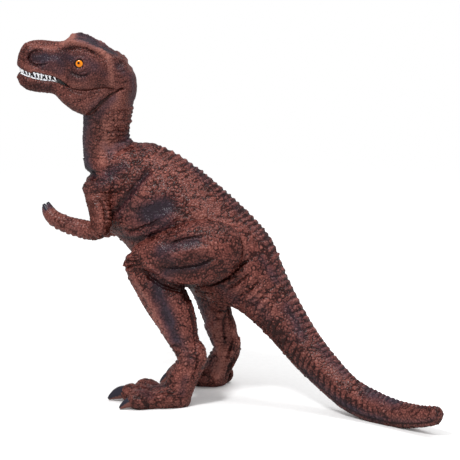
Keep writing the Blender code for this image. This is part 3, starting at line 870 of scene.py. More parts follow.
def texture(tree, kind, size_mm, **values):
    """A 3D texture whose features are about this many millimetres."""
    place = tree.nodes.new("ShaderNodeTexCoord")
    node = tree.nodes.new(kind)
    node.inputs["Scale"].default_value = 1000 / size_mm
    for name, value in values.items():
        node.inputs[name].default_value = value
    tree.links.new(place.outputs["Object"], node.inputs["Vector"])
    return node


def paint_masks(tree):
    """The three paint masks that a mesh carries."""
    masks = tree.nodes.new("ShaderNodeAttribute")
    masks.attribute_name = "masks"
    split = tree.nodes.new("ShaderNodeSeparateColor")
    tree.links.new(masks.outputs["Color"], split.inputs["Color"])
    return [split.outputs[name] for name in ("Red", "Green", "Blue")]


def varnished(shader, weight, roughness):
    """All shine from a clear coat, none from the paint under it."""
    shader.inputs["Specular IOR Level"].default_value = 0.0
    shader.inputs["Coat Weight"].default_value = weight
    shader.inputs["Coat Roughness"].default_value = roughness


def dress(tree, shader, shade, gloss):
    tree.links.new(shade, shader.inputs["Base Color"])
    tree.links.new(gloss, shader.inputs["Roughness"])


def bumpy(tree, height, strength, distance, *normals):
    bump = tree.nodes.new("ShaderNodeBump")
    bump.inputs["Strength"].default_value = strength
    bump.inputs["Distance"].default_value = distance
    tree.links.new(height, bump.inputs["Height"])
    for normal in normals:
        tree.links.new(bump.outputs["Normal"], normal)


# Tones that darken and lighten the brown in broad patches
BROAD_TONES = [(0.32, (0.80, 0.80, 0.82)), (0.68, (1.12, 1.06, 1.04))]


def vinyl(name, recess, middle, raised, rough=0.40, grain=0.55, grain_depth=0.00010):
    """Airbrushed vinyl: the brown by relief, darker in grooves and paler on knobs partly as
    painted shade and painted highlight, blue-grey where it was sprayed, dark in the mouth.
    """
    material, tree, shader = nodes_of(name)
    varnished(shader, 0.26, 0.24)
    patch, relief, dark = paint_masks(tree)
    broad = texture(tree, "ShaderNodeTexNoise", 9.0, Detail=3.0, Roughness=0.6)
    fine = texture(tree, "ShaderNodeTexNoise", 0.8, Detail=4.0, Roughness=0.65)
    pebble = texture(tree, "ShaderNodeTexVoronoi", grain, Randomness=1.0)
    grains = pebble.outputs["Distance"]

    speckle = maths(tree, "MULTIPLY_ADD", fine.outputs["Fac"], 0.7, -0.35)
    height = maths(tree, "ADD", relief, speckle)
    height = maths(tree, "MULTIPLY_ADD", grains, -0.42, height)
    height = maths(tree, "ADD", height, 0.15)
    # Dark in grooves and pale on knobs and grains: partly the figure's own paint, partly painted
    # shade and painted highlight
    brown = ramp(tree, height, [(0.12, recess), (0.50, middle), (0.92, raised)])
    tone = ramp(tree, broad.outputs["Fac"], BROAD_TONES)
    brown = mix(tree, 1.0, brown, tone, "MULTIPLY")
    # The blue-grey too goes darker in grooves and paler on knobs, partly as painted shade and
    # painted highlight
    dark_blue, pale_blue = (tuple(share * value for value in BLUE) for share in (0.45, 1.35))
    bluish = ramp(tree, height, [(0.15, dark_blue), (0.6, BLUE), (0.95, pale_blue)])
    sprayed = maths(tree, "ADD", patch, maths(tree, "MULTIPLY", speckle, patch))
    shade = mix(tree, sprayed, brown, bluish)
    shade = mix(tree, dark, shade, MOUTH_BROWN)
    dress(tree, shader, shade, maths(tree, "MULTIPLY_ADD", height, -0.50, rough + 0.25))
    rise = maths(tree, "MULTIPLY_ADD", grains, -1.0, 1.0)
    rise = maths(tree, "MULTIPLY_ADD", fine.outputs["Fac"], 0.5, rise)
    bumpy(tree, rise, 1.0, grain_depth, shader.inputs["Normal"], shader.inputs["Coat Normal"])
    return material


CLAW_COLOURS = [
    (0.3, (0.016, 0.014, 0.024)),
    (0.55, (0.045, 0.028, 0.032)),
    (0.8, (0.15, 0.055, 0.045)),
]
TOOTH_COLOURS = [(0.25, (0.52, 0.56, 0.70)), (0.5, (0.82, 0.83, 0.86)), (0.75, (0.92, 0.92, 0.90))]
# From the pupil over the iris to the rim
EYE_COLOURS = [
    (0.28, (0.004, 0.004, 0.005)),
    (0.32, (0.62, 0.15, 0.004)),
    (0.50, (0.85, 0.27, 0.006)),
    (0.66, (0.70, 0.18, 0.005)),
    (0.72, (0.10, 0.025, 0.006)),
    (0.76, (0.006, 0.005, 0.006)),
]


def painted_claw():
    """Glossier blue-black paint, rubbed to brown underneath and in streaks along the claw."""
    material, tree, shader = nodes_of("claw_paint")
    varnished(shader, 0.35, 0.25)
    wear = paint_masks(tree)[0]
    streak = texture(tree, "ShaderNodeTexNoise", 0.9, Detail=4.0, Roughness=0.6).outputs["Fac"]
    rub = maths(tree, "MULTIPLY_ADD", streak, 0.9, -0.45)
    rub = maths(tree, "ADD", wear, rub)
    shade = ramp(tree, rub, CLAW_COLOURS)
    dress(tree, shader, shade, maths(tree, "MULTIPLY_ADD", streak, 0.2, 0.24))
    bumpy(tree, streak, 0.5, 0.00008, shader.inputs["Normal"])
    return material


def tooth_paint():
    material, tree, shader = nodes_of("tooth_paint")
    stain = texture(tree, "ShaderNodeTexNoise", 0.9, Detail=3.0, Roughness=0.6).outputs["Fac"]
    shade = ramp(tree, stain, TOOTH_COLOURS)
    dress(tree, shader, shade, maths(tree, "MULTIPLY_ADD", stain, 0.2, 0.22))
    bumpy(tree, stain, 0.4, 0.00006, shader.inputs["Normal"])
    return material


def eye_paint():
    """Painted eye: black pupil, orange iris with darker flecks, black rim."""
    material, tree, shader = nodes_of("eye_paint")
    varnished(shader, 0.3, 0.06)
    fleck = texture(tree, "ShaderNodeTexNoise", 0.35, Detail=2.0, Roughness=0.5).outputs["Fac"]
    place = maths(tree, "MULTIPLY_ADD", fleck, 0.05, paint_masks(tree)[0])
    shade = ramp(tree, maths(tree, "SUBTRACT", place, 0.025), EYE_COLOURS)
    dress(tree, shader, shade, maths(tree, "MULTIPLY_ADD", fleck, 0.08, 0.12))
    return material


def steel():
    material, tree, shader = nodes_of("pin_steel")
    grain = texture(tree, "ShaderNodeTexNoise", 0.3, Detail=3.0, Roughness=0.6).outputs["Fac"]
    shade = ramp(tree, grain, [(0.3, (0.42, 0.42, 0.43)), (0.7, (0.62, 0.62, 0.63))])
    dress(tree, shader, shade, maths(tree, "MULTIPLY_ADD", grain, 0.2, 0.2))
    shader.inputs["Metallic"].default_value = 1.0
    return material


# Browns in grooves, between, and on knobs, the dark one partly painted shade and the pale one
# partly painted highlight; and the sprayed blue-grey
BODY_BROWNS = [(0.022, 0.005, 0.004), (0.138, 0.042, 0.034), (0.315, 0.123, 0.096)]
FACE_BROWNS = [(0.026, 0.006, 0.005), (0.115, 0.037, 0.030), (0.260, 0.102, 0.079)]
ARM_BROWNS = [(0.045, 0.011, 0.008), (0.160, 0.053, 0.042), (0.300, 0.125, 0.100)]
BLUE = (0.046, 0.028, 0.042)
MOUTH_BROWN = (0.034, 0.012, 0.010)
skin_paint = vinyl("body_vinyl", *BODY_BROWNS)
face_paint = vinyl("head_vinyl", *FACE_BROWNS, grain=0.45)
arm_paint = vinyl("arm_vinyl", *ARM_BROWNS, rough=0.38, grain_depth=0.00006)
claw_paint = painted_claw()
tooth_white = tooth_paint()
eye_colours = eye_paint()


# Body line


def runs_of(centres):
    steps = np.linalg.norm(np.diff(centres, axis=0), axis=1)
    return np.concatenate(((0,), np.cumsum(steps)))


def nearest_centre(points, centres, block=20000):
    """The number of each point's nearest centre, a block of points at a time to save memory."""
    best = []
    for start in range(0, len(points), block):
        off = points[start : start + block, None, :] - centres[None]
        best.append((off**2).sum(2).argmin(1))
    return np.concatenate(best)


class BodyLine:
    """Where points lie along and around the body: station, run in mm, and shares across and up."""

    def __init__(self, points):
        kept = sections(spine_rows(), 0, len(SPINE) - 1, 20)
        stations = np.array([position for position, *_ in kept])
        rows = np.array([row for _, row, _ in kept])
        axes = [np.array(own) for own in zip(*(axes_of(row) for row in rows))]
        centres, halves = rows[:, :3], rows[:, 3:5]
        runs = runs_of(centres)
        best = nearest_centre(points, centres)
        off = points - centres[best]
        along, sideways, upward = (axis[best] for axis in axes)
        ahead = (off * along).sum(1)
        aside = (off * sideways).sum(1)
        above = (off * upward).sum(1)
        self.station = stations[best]
        self.run = runs[best] + ahead
        self.across = aside / halves[best][:, 1]
        self.up = above / halves[best][:, 0]
        self.mirrored = (
            centres[best]
            + along * ahead[:, None]
            - sideways * np.abs(aside)[:, None]
            + upward * above[:, None]
        )


def wrapped(value, period):
    """Distance in mm to the nearest whole multiple of a period."""
    return np.abs(value - period * np.round(value / period))


def back_relief(line, points, strength):
    """Cross wrinkles over the back, which make its outline serrated, and knobs along its top."""
    wander = 1.1 * noise(points, 6.0, 11, 2)
    top = smooth(0.74, 0.97, line.up) * smooth(-0.8, 0.2, noise(points, 5.0, 13, 1))
    period = 2.2
    groove = hump(wrapped(line.run + wander, period), 0.34)
    rise = 0.5 - 0.5 * np.cos(2 * math.pi * (line.run + wander) / period)
    crown = hump(line.across, 0.30) * smooth(0.0, 0.4, line.up)
    height = -0.14 * groove * top + 0.44 * crown * rise**1.3 - 0.16 * crown
    return strength * height, strength * (0.5 * crown * (rise - 0.5) - 0.45 * groove * top)


# Torso and tail, sculpted as one surface

# A stroke is an amount, a radius in pixels and a line through pixel places. Forms and shapes
# raise the surface by mm, the light and shade strokes make the paint paler and darker, as rubbed
# paint, painted highlight and painted shade, and sprays lay on blue-grey.

# Lines that are both folded and painted, most with painted shade along the creases and painted
# highlight along the ridges
RIB_FOLD = [(122, 228), (134, 230.5), (150, 225), (166, 216)]
TAIL_FOLD = [(202, 287), (218, 283), (230, 275), (240, 265.5), (254, 257)]
TAIL_RIDGES = [
    [(230, 294.5), (244, 286), (257, 275)],
    [(240, 304), (254, 295.5), (267, 283)],
    [(252, 313), (264, 304), (275, 293)],
]
CROWN_BAND = [(77, 37.5), (86, 40), (96, 44.5), (106, 49), (116, 53)]
BROW_CREASE = [(58, 52.5), (66, 49.5), (76, 47.5), (86, 48.5), (96, 53), (105, 59)]
EYE_FOLD = [(69.5, 70), (73, 74.2), (79, 76.6), (85, 76), (90, 72.5)]
JAW_CREASE_END = [(112, 94), (118, 90.8), (125, 88.2)]
THIGH_FOLD = [(143, 270), (150, 278), (160, 285), (171, 289), (184, 291.5)]
FAR_TENDON = [(223.4, 353), (220, 366), (215.8, 378)]
FAR_FURROW = [(223, 318), (224, 335), (225, 350)]

NECK_FORMS = [
    (-0.30, 1.1, [(112, 99), (122, 101), (133, 100)]),
    (-0.30, 1.1, [(104, 109), (116, 112), (131, 110)]),
    (-0.25, 1.1, [(96, 119), (110, 122), (130, 119)]),
    (-0.25, 1.1, [(93, 129), (108, 133), (129, 130)]),
    (-0.60, 2.4, [(132, 138), (122, 142), (112, 143)]),
    (-0.25, 1.1, [(94, 139), (104, 142), (114, 140)]),
    (-0.25, 1.1, [(93, 149), (104, 152), (116, 150), (128, 146)]),
    (-0.25, 1.2, [(92, 158), (104, 161), (118, 158)]),
    (0.40, 3.0, [(118, 158), (128, 152), (140, 150)]),
]
NECK_SPRAY = [
    (0.65, 4.0, [(132, 76), (134, 90), (132, 104)]),
    (0.60, 4.5, [(113, 98), (105, 106), (98, 116)]),
    (0.70, 4.2, [(84, 116), (83, 126), (82, 138), (82, 150), (85, 164), (90, 172)]),
    (0.60, 4.5, [(130, 136), (122, 144), (112, 150)]),
    (0.40, 4.0, [(104, 146), (110, 156)]),
]
BODY_FORMS = [
    # furrow behind the shoulder
    (-1.1, 3.2, [(113, 214), (121, 205), (129, 193), (138, 182), (148, 171)]),
    (-0.6, 1.5, [(94, 194), (106, 194.5), (115, 192), (123, 188)]),
    (-0.45, 1.3, [(103, 177), (110, 172.5), (118, 170.5), (121, 172)]),
    (0.35, 3.0, [(128, 205), (140, 190), (152, 178)]),
    # notch where the chest meets the throat
    (-0.8, 1.8, [(86, 168), (92, 174), (96, 176)]),
    # hollow flank with its fold, and the roll between it and the thigh
    (-1.1, 7.5, [(140, 213), (155, 210), (170, 204)]),
    (-0.75, 1.2, RIB_FOLD),
    (0.5, 2.4, [(128, 235), (146, 234), (160, 227), (176, 217)]),
    (0.7, 6.0, [(112, 214), (120, 222), (130, 226)]),
    (-0.35, 1.2, [(112, 232), (120, 236), (128, 243)]),
    # folds behind the thigh and under the tail's root
    (-0.7, 1.8, [(204, 219), (214, 226), (226, 240), (233, 254)]),
    (-1.2, 1.4, TAIL_FOLD),
    (0.5, 1.8, [(224, 285), (237, 277), (248, 268)]),
    (-0.9, 1.0, [(224, 291), (239, 283), (252, 272.5)]),
    (0.4, 1.5, TAIL_RIDGES[0]),
    (-0.8, 1.0, [(234, 300), (248, 291), (262, 279)]),
    (0.4, 1.5, TAIL_RIDGES[1]),
    (-0.7, 1.0, [(245, 309.5), (259, 300.5), (271, 289)]),
    (0.35, 1.5, TAIL_RIDGES[2]),
    (-0.5, 1.0, [(258, 318), (270, 308.5), (280, 298)]),
    (-0.25, 1.0, [(262, 262), (270, 276), (273, 290)]),
    (-0.25, 1.0, [(252, 252), (262, 258), (272, 268)]),
    # muscle over the ribs and hip
    (0.6, 9.0, [(190, 200), (215, 215), (238, 240)]),
    (-0.35, 3.0, [(168, 178), (184, 186), (200, 198)]),
]
# Paler paint on the neck as painted light, where it turns away from the lamps and lies in the
# head's shadow
NECK_PAINTED_SHADING = [
    (0.45, 7.0, [(104, 124), (108, 138), (104, 150), (102, 160)]),
    (0.60, 11.0, [(114, 104), (116, 128), (112, 150)]),
]
BODY_SPRAY = [
    (1.0, 9.5, [(150, 212), (166, 206)]),
    (0.55, 12.0, [(140, 216), (158, 212)]),
    (0.55, 5.0, [(118, 214), (126, 200), (138, 185), (146, 174)]),
    (0.65, 5.0, [(106, 174), (114, 170), (124, 166)]),
    (0.45, 7.0, [(100, 182), (112, 178)]),
    (0.45, 5.0, [(125, 236), (140, 238), (152, 233), (170, 224)]),
    (0.3, 4.0, [(190, 163), (200, 172), (207, 182)]),
    (0.25, 4.0, [(222, 194), (236, 208)]),
    (0.6, 4.5, [(262, 258), (268, 268), (276, 280)]),
    (0.4, 5.0, [(222, 288), (236, 300)]),
    (0.7, 6.5, [(286, 306), (296, 322), (302, 336)]),
    (0.35, 6.0, [(254, 300), (268, 318)]),
    (0.8, 7.0, [(368, 392), (382, 398), (396, 402)]),
    (0.55, 4.5, [(318, 345), (330, 360), (344, 374)]),
    (0.5, 5.0, [(300, 372), (330, 396), (356, 412), (380, 420)]),
]


# Corrections of the outline, not only of the flanks
BODY_SHAPES = [
    (-1.7, 3.0, [(83, 173.5), (92, 175.5)]),
    (-0.6, 3.0, [(95, 178), (101, 180)]),
    (0.7, 4.0, [(82, 146), (82, 156)]),
    (0.7, 5.0, [(83, 187), (83, 192)]),
    (-1.3, 4.5, [(188, 291)]),
]
# Paler where the paint was rubbed and as painted highlight on the back, hip, tail and ridges;
# darker as painted shade in the folds, under the flank and thigh and in the shoulder crease
BODY_RUB_AND_SHADING = [
    (0.15, 9.0, [(150, 158), (170, 172), (192, 190)]),
    (0.45, 11.0, [(204, 216), (222, 228), (236, 246)]),
    (0.35, 5.0, [(132, 214), (140, 196), (152, 182)]),
    (0.30, 5.0, [(296, 300), (312, 326), (330, 350), (352, 374)]),
    (-0.30, 6.0, [(262, 322), (280, 340)]),
    (0.30, 9.0, [(262, 300), (276, 316)]),
    (0.20, 7.0, [(252, 290), (262, 302)]),
    (-0.9, 1.8, TAIL_FOLD),
    (-0.6, 2.0, [(124, 237), (136, 240), (152, 234)]),
    (-0.4, 1.3, RIB_FOLD),
    (-0.6, 1.6, [(138, 244), (149, 239.5), (165, 230), (190, 220)]),
    (0.25, 1.8, TAIL_RIDGES[0]),
    (0.30, 1.8, TAIL_RIDGES[1]),
    (0.20, 1.8, TAIL_RIDGES[2]),
    (-0.30, 9.0, [(170, 262), (200, 258), (216, 250)]),
    (-0.5, 1.2, [(92, 193), (106, 194.5), (115, 192), (123, 188)]),
]


# Voxels of the skins, in mm
BODY_VOXEL = 0.25
HEAD_VOXEL = 0.20
JAW_VOXEL = 0.19
LEG_VOXEL = 0.26
ARM_VOXEL = 0.20


def coarse(voxel):
    return voxel


def past_seam(points, quads, station):
    """How far each face's middle lies past a seam, in mm."""
    row = spine_rows()[station]
    return (points[quads].mean(1) - row[:3]) @ axes_of(row)[0]


def creases(points):
    """Fine winding wrinkles, broken into short runs."""
    fold = noise(points * (1, 1, 1.5), 2.3, 8, 2)
    runs = 0.3 + 0.7 * smooth(-0.3, 0.2, noise(points, 3.2, 18, 1))
    return runs * hump(fold, 0.12)


def neck_wrinkles(points, line):
    """Level wrinkles around the neck."""
    fold = noise(points * (0.55, 0.55, 2.2), 2.5, 28, 2)
    return 0.8 * smooth(8.0, 6.0, line.station) * hump(fold, 0.10)


def mottled(patch, points, seed):
    """A sprayed patch, stronger and weaker from spot to spot."""
    return patch * (0.85 + 0.45 * noise(points, 4.0, seed))


def thinned(seeds):
    """Knobs are fewer on the neck and the tail."""
    luck = chance(np.round(seeds * 20), 15)
    on_neck = seeds[:, 2] > 0.70 * HEIGHT
    on_tail = seeds[:, 0] - 0.6 * seeds[:, 2] > 0.06 * LENGTH
    return seeds[np.where(on_neck, luck < 0.45, np.where(on_tail, luck < 0.40, True))]


def throat_of(line):
    """One on the throat, which is smoother and sprayed."""
    return smooth(0.35, 0.72, -line.up) * smooth(6.6, 5.2, line.station)


def ball(centre, run, across, above):
    """A closed oval ball from its centre and three half axes."""
    rings = []
    for part in np.linspace(-0.985, 0.985, 15):
        size = math.sqrt(1 - part * part)
        rings.append(oval(centre + run * part, across, above, size, size, 32))
    return shell(rings)


def shoulder(mirror):
    """The mass over an arm's root, from the chest's front edge back to the furrow."""
    centre = placed(102, 184, -8.6)
    run = placed(120, 178.5, -8.2) - centre
    above = placed(99.0, 171.5, -8.0) - centre
    across = np.array((0.6, -5.3, -0.4))
    flip = np.array((1, -1 if mirror else 1, 1))
    return ball(centre * flip, run * flip, across * flip, above * flip)


def make_body():
    shells = [shell(spine_rings(2.0, len(SPINE) - 1)), shoulder(False), shoulder(True)]
    points, quads = remeshed(shells, coarse(BODY_VOXEL))
    points = relaxed(points, quads, 10)
    line = BodyLine(points)
    # The tip curls up a little and is shorter than the casting allows for
    tip = smooth(len(SPINE) - 7, len(SPINE) - 0.5, line.station) ** 1.3
    points = points + np.outer(tip, (-1.5, 0, 1.9))
    pixels = seen(line.mirrored)
    flank = smooth(1.0, 0.55, np.abs(line.up))
    forms = painted(pixels, BODY_FORMS + NECK_FORMS) * (0.35 + 0.65 * flank)
    forms += painted(pixels, BODY_SHAPES)
    sole = smooth(0.05, 1.0, points[:, 2])
    points = pushed(points, normals_of(points, quads), forms * sole)
    points = relaxed(points, quads, 2)
    normals = normals_of(points, quads)

    tail_part = smooth(11.0, 13.0, line.station)
    throat = throat_of(line)
    neck_part = smooth(6.5, 5.0, line.station)
    back, back_tone = back_relief(line, points, 1.0 + 0.3 * tail_part - 0.5 * neck_part)
    slant = line.run + 2.4 * line.up + 0.9 * noise(points, 5.0, 5, 2)
    ripple = hump(wrapped(slant, 2.5), 0.42) * smooth(-0.6, 0.1, noise(points, 3.5, 6, 1))
    ripple *= tail_part * smooth(0.42, 0.12, line.up) * smooth(-0.62, -0.42, line.up)
    ripple *= smooth(22.0, 18.0, line.station)
    under = hump(line.up + 0.55, 0.09) * smooth(14.0, 16.0, line.station)
    under *= smooth(len(SPINE) - 1.6, len(SPINE) - 3.2, line.station)
    grain_seeds = points[scatter(points, SCALE_SPACING, 3)]
    grain, grain_tone = scales(points, SCALE_SPACING, grain_seeds, 0.085, 1.0 - 0.3 * throat)
    knob_seeds = thinned(knob_places(points, KNOB_SPACING, 21, 0.48, throat < 0.5))
    knob, knob_tone = knobs(points, knob_seeds, *BODY_KNOBS)
    crease = np.maximum(creases(points), neck_wrinkles(points, line))
    height = back + grain + knob - 0.34 * ripple - 0.36 * under - 0.20 * crease
    height *= smooth(0.0, 0.8, points[:, 2])
    points = pushed(points, normals, height)
    points[:, 2] = np.maximum(points[:, 2], 0.0)

    # The paint's relief: darker in grooves, creases, rings and folds and paler on knobs, ridges
    # and domes, partly as painted shade and painted highlight; the light and shade strokes add
    # more of both
    relief = 0.25 * grain_tone + 0.9 * knob_tone + back_tone - 0.9 * ripple - 0.8 * under
    relief -= 0.85 * crease + 0.5 * np.clip(-forms, 0, 1)
    relief += painted(pixels, BODY_RUB_AND_SHADING + NECK_PAINTED_SHADING)
    patch = painted(pixels, BODY_SPRAY + NECK_SPRAY)
    patch += 0.45 * throat + 0.25 * smooth(0.86, 0.98, line.up) * (line.across**2 < 0.5)
    low_band = hump(line.up + 0.35, 0.22) * smooth(15.0, 18.0, line.station)
    patch += 0.45 * low_band
    masks = mask_colours(mottled(patch, points, 31), relief)

    station = line.station[quads[:, 0]]
    behind = past_seam(points, quads, TAIL_SEAM) > 0
    behind = np.where(np.abs(station - TAIL_SEAM) < 4, behind, station > TAIL_SEAM)
    below_neck = (past_seam(points, quads, NECK_SEAM) > -SEAM_LAP) | (station > NECK_SEAM + 2)
    for node, chosen in (("torso", ~behind & below_neck), ("tail", behind)):
        put_skin(f"{node}_skin", node, points, quads[chosen], "figure", skin_paint, masks)
    return [
        seeds[np.linalg.norm(seeds - spine_rows()[NECK_SEAM][:3], axis=1) < 13]
        for seeds in (grain_seeds, knob_seeds)
    ]


# Head

# Corrections of the outline, not only of the flanks
RAISED_ROOF = [
    (0.45, 3.0, [(67, 40)]),
    (-0.55, 5.0, [(85, 35), (96, 40.5)]),
    (0.5, 3.2, [(121, 54.5), (125, 57.5)]),
]
LOWERED_LIP = [
    (0.95, 3.2, [(17, 61), (22, 65), (30, 69.5)]),
]
DRAWN_IN_NAPE = [
    (1.7, 4.4, [(134, 64.5)]),
    (-0.5, 4.0, [(131, 121)]),
]
# Paler where the paint was rubbed and as painted highlight on the brow, snout ridge and cheek;
# darker as painted shade in the creases and hollows, behind the jaw's corner and at the snout's
# front, and darker paint along the crown band
HEAD_RUB_AND_SHADING = [
    (0.85, 2.8, [(63, 44), (72, 41), (80, 41.5), (90, 45.5), (100, 50.5), (108, 56)]),
    (0.25, 2.6, [(21, 48), (27, 44.5), (36, 47), (48, 48.5), (58, 47)]),
    (-0.22, 7.0, [(21, 60), (23, 50)]),
    (0.50, 3.0, [(109, 59), (111, 70), (112, 84)]),
    (0.35, 5.0, [(62, 78), (74, 84), (88, 84)]),
    (0.40, 2.0, [(22, 64), (31, 69.5), (43, 73.5), (55, 76)]),
    (-0.45, 5.0, [(64, 56), (70, 62), (72, 70)]),
    (-0.9, 2.4, CROWN_BAND),
    (0.55, 9.0, [(118, 98), (112, 112)]),
    (-0.35, 1.5, BROW_CREASE),
    (-0.45, 1.3, EYE_FOLD),
    (-0.5, 1.0, [(30, 52.5), (28, 56), (27.8, 59), (30.4, 63), (34, 65)]),
    (-0.5, 1.0, [(30.4, 63), (36, 65.5), (43, 65.2), (49, 62.5)]),
    (-0.4, 1.0, [(29, 54), (33, 51.2), (39, 50.3), (45, 51.2)]),
    (-0.6, 1.1, JAW_CREASE_END),
    (-0.30, 6.0, [(70, 80), (84, 82), (98, 78)]),
]

HEAD_FORMS = [
    # snout ridge and brow
    (0.55, 2.6, [(36, 48.5), (46, 49.5), (56, 49.5), (63, 46.5), (72, 42)]),
    (0.75, 3.0, [(70, 42.5), (79, 40.5), (88, 43.5), (96, 47.8), (104, 53.5)]),
    (-0.55, 1.3, BROW_CREASE),
    # hollow in front of the eye
    (-0.75, 5.6, [(34, 58.2), (42, 58.6)]),
    (-0.75, 0.8, [(45, 51.2), (39, 50.3), (33, 51.2), (29, 54), (27.8, 58.5), (30.4, 63)]),
    (-0.75, 0.8, [(29, 54), (27.8, 58.5), (30.4, 63), (36, 65.5), (43, 65.2), (49, 62.5)]),
    (-0.25, 0.7, [(31, 60), (32.4, 56), (37, 54.2)]),
    (-0.25, 0.7, [(31, 60), (36, 62.5), (42, 62)]),
    (0.22, 1.4, [(33, 57), (38, 56.5), (43, 57.5)]),
    (-0.25, 3.2, [(48, 57), (56, 57.5), (62, 57)]),
    (0.25, 1.2, [(26, 61), (29, 66), (36, 68.6), (44, 68)]),
    # nostril
    (-0.75, 1.3, [(22.8, 51.5), (25.6, 47)]),
    (0.35, 1.2, [(20.3, 52), (22.0, 46.5), (26, 43.8)]),
    (0.25, 1.1, [(25.4, 52.5), (28.0, 48.5)]),
    # eye socket, its rings and the fold under it
    (0.45, 9.0, [(79, 64)]),
    (-0.9, 4.6, [(79, 63.5)]),
    (-0.32, 0.9, [(71.2, 66), (74, 71), (79, 73.2), (84.5, 71.4), (87.6, 66)]),
    (-0.32, 0.9, [(71, 62), (73.5, 57.2), (79, 55), (84.8, 57), (87.8, 62)]),
    (0.25, 0.9, [(72.9, 64), (75, 59.6), (79, 57.7), (83.4, 59.2), (85.3, 64)]),
    (0.25, 0.9, [(72.9, 64), (75, 68.6), (79, 70.3), (83.4, 68.8), (85.3, 64)]),
    (-0.60, 1.0, EYE_FOLD),
    (0.25, 1.6, [(68, 74), (75, 79), (84, 80), (92, 76)]),
    # cheek, jowl and the smooth upright behind it
    (0.30, 5.0, [(74, 84), (86, 85), (98, 81)]),
    (-0.25, 3.0, [(60, 62), (63, 70), (66, 77)]),
    (0.35, 2.4, [(108, 58), (110.5, 66), (111.5, 76), (112, 84)]),
    (-0.25, 1.4, [(104, 62), (105.5, 70), (105, 78)]),
    # ear hollow and the wrinkles behind the jaw
    (-0.75, 2.8, [(118, 65.5), (121, 63)]),
    (0.45, 1.6, [(114, 59), (121, 57.5), (127, 60)]),
    (-0.35, 0.9, [(114, 71), (120, 72), (127, 70)]),
    (-0.35, 0.9, [(113.5, 76.5), (121, 77.6), (129, 76)]),
    (-0.35, 0.9, [(114, 82), (121, 83.2), (130, 82)]),
    # the end of the crease behind the jaw
    (-0.85, 0.9, JAW_CREASE_END),
    # upper lip
    (0.22, 1.3, [(21, 63.5), (31, 69), (43, 73), (55, 76), (64, 81)]),
    (-0.18, 0.9, [(24, 61), (33, 66.2), (44, 70), (55, 73)]),
]
CHEEK_WRINKLES = [
    (-0.16, 0.55, [(66.0 + 3.1 * n, 79.5 + 1.5 * (n % 2)), (66.8 + 3.1 * n, 86.0)])
    for n in range(13)
]
HEAD_SPRAY = [
    (1.00, 5.6, [(34, 57.5), (43, 58.5)]),
    (0.75, 5.0, [(46, 58), (56, 60), (62, 64)]),
    (0.45, 4.0, [(42, 67), (52, 68), (60, 72)]),
    (0.55, 4.5, [(56, 56), (66, 55), (72, 60)]),
    (0.60, 5.0, [(74, 58), (84, 58), (92, 64)]),
    (0.45, 5.0, [(84, 72), (94, 70)]),
    (0.35, 5.0, [(72, 74), (84, 77)]),
    (0.45, 4.0, [(98, 66), (104, 74)]),
    (1.10, 3.0, CROWN_BAND),
    (0.70, 4.5, [(119, 66), (124, 72)]),
]


def at_share(table, column, ahead_share):
    """A column of a table of the head where a share of the head's length is reached."""
    return np.interp(ahead_share, [r[0] for r in table[::-1]], [r[column] for r in table[::-1]])


def neck_rings():
    """The neck, its first rings drawn in behind, where the back of the head covers them."""
    rings = spine_rings(0, 5.3)
    _, upward = facing(spine_rows()[0])
    for number in range(6):
        middle = rings[number].mean(0)
        behind = np.maximum((rings[number] - middle) @ upward, 0)
        rings[number] = rings[number] - np.outer((0.42 - 0.07 * number) * behind, upward)
    return rings


def head_pixels(points):
    """Where points of the head, or their mirror image on its left side, show in the photograph."""
    own = to_head(points)
    own[:, 1] = np.abs(own[:, 1])
    return seen(from_head(own))


def flaps_apart():
    """Half the distance between the jaw's flaps."""
    return max(row[3] for row in JAW) * HEAD_BREADTH - FLAP


def make_tongue():
    """What the head keeps inside: the tongue between the jaw's flaps, and the neck's peg."""
    half = flaps_apart() - FIT_GAP
    boss = rod_shell(from_head((0, -half, 0)), from_head((0, half, 0)), BOSS)
    web = box_shell((-0.2 * HEAD_LENGTH, -half, -BOSS), (0, half, BOSS))
    spine = spine_rows()[NECK_SEAM]
    along, _, _ = axes_of(spine)
    peg = rod_shell(spine[:3] - 5 * along, spine[:3] + 4 * along, 4.0)
    points, quads = remeshed([boss, web, peg], coarse(BODY_VOXEL))
    points = relaxed(points, quads, 2)
    # Mouth-dark and a darker brown: painted shade where the tongue shows in the gap behind the jaw
    masks = mask_colours(np.zeros(len(points)), -0.4, 0.7)
    put("hinge_tongue", points, quads, "figure", face_paint, masks)


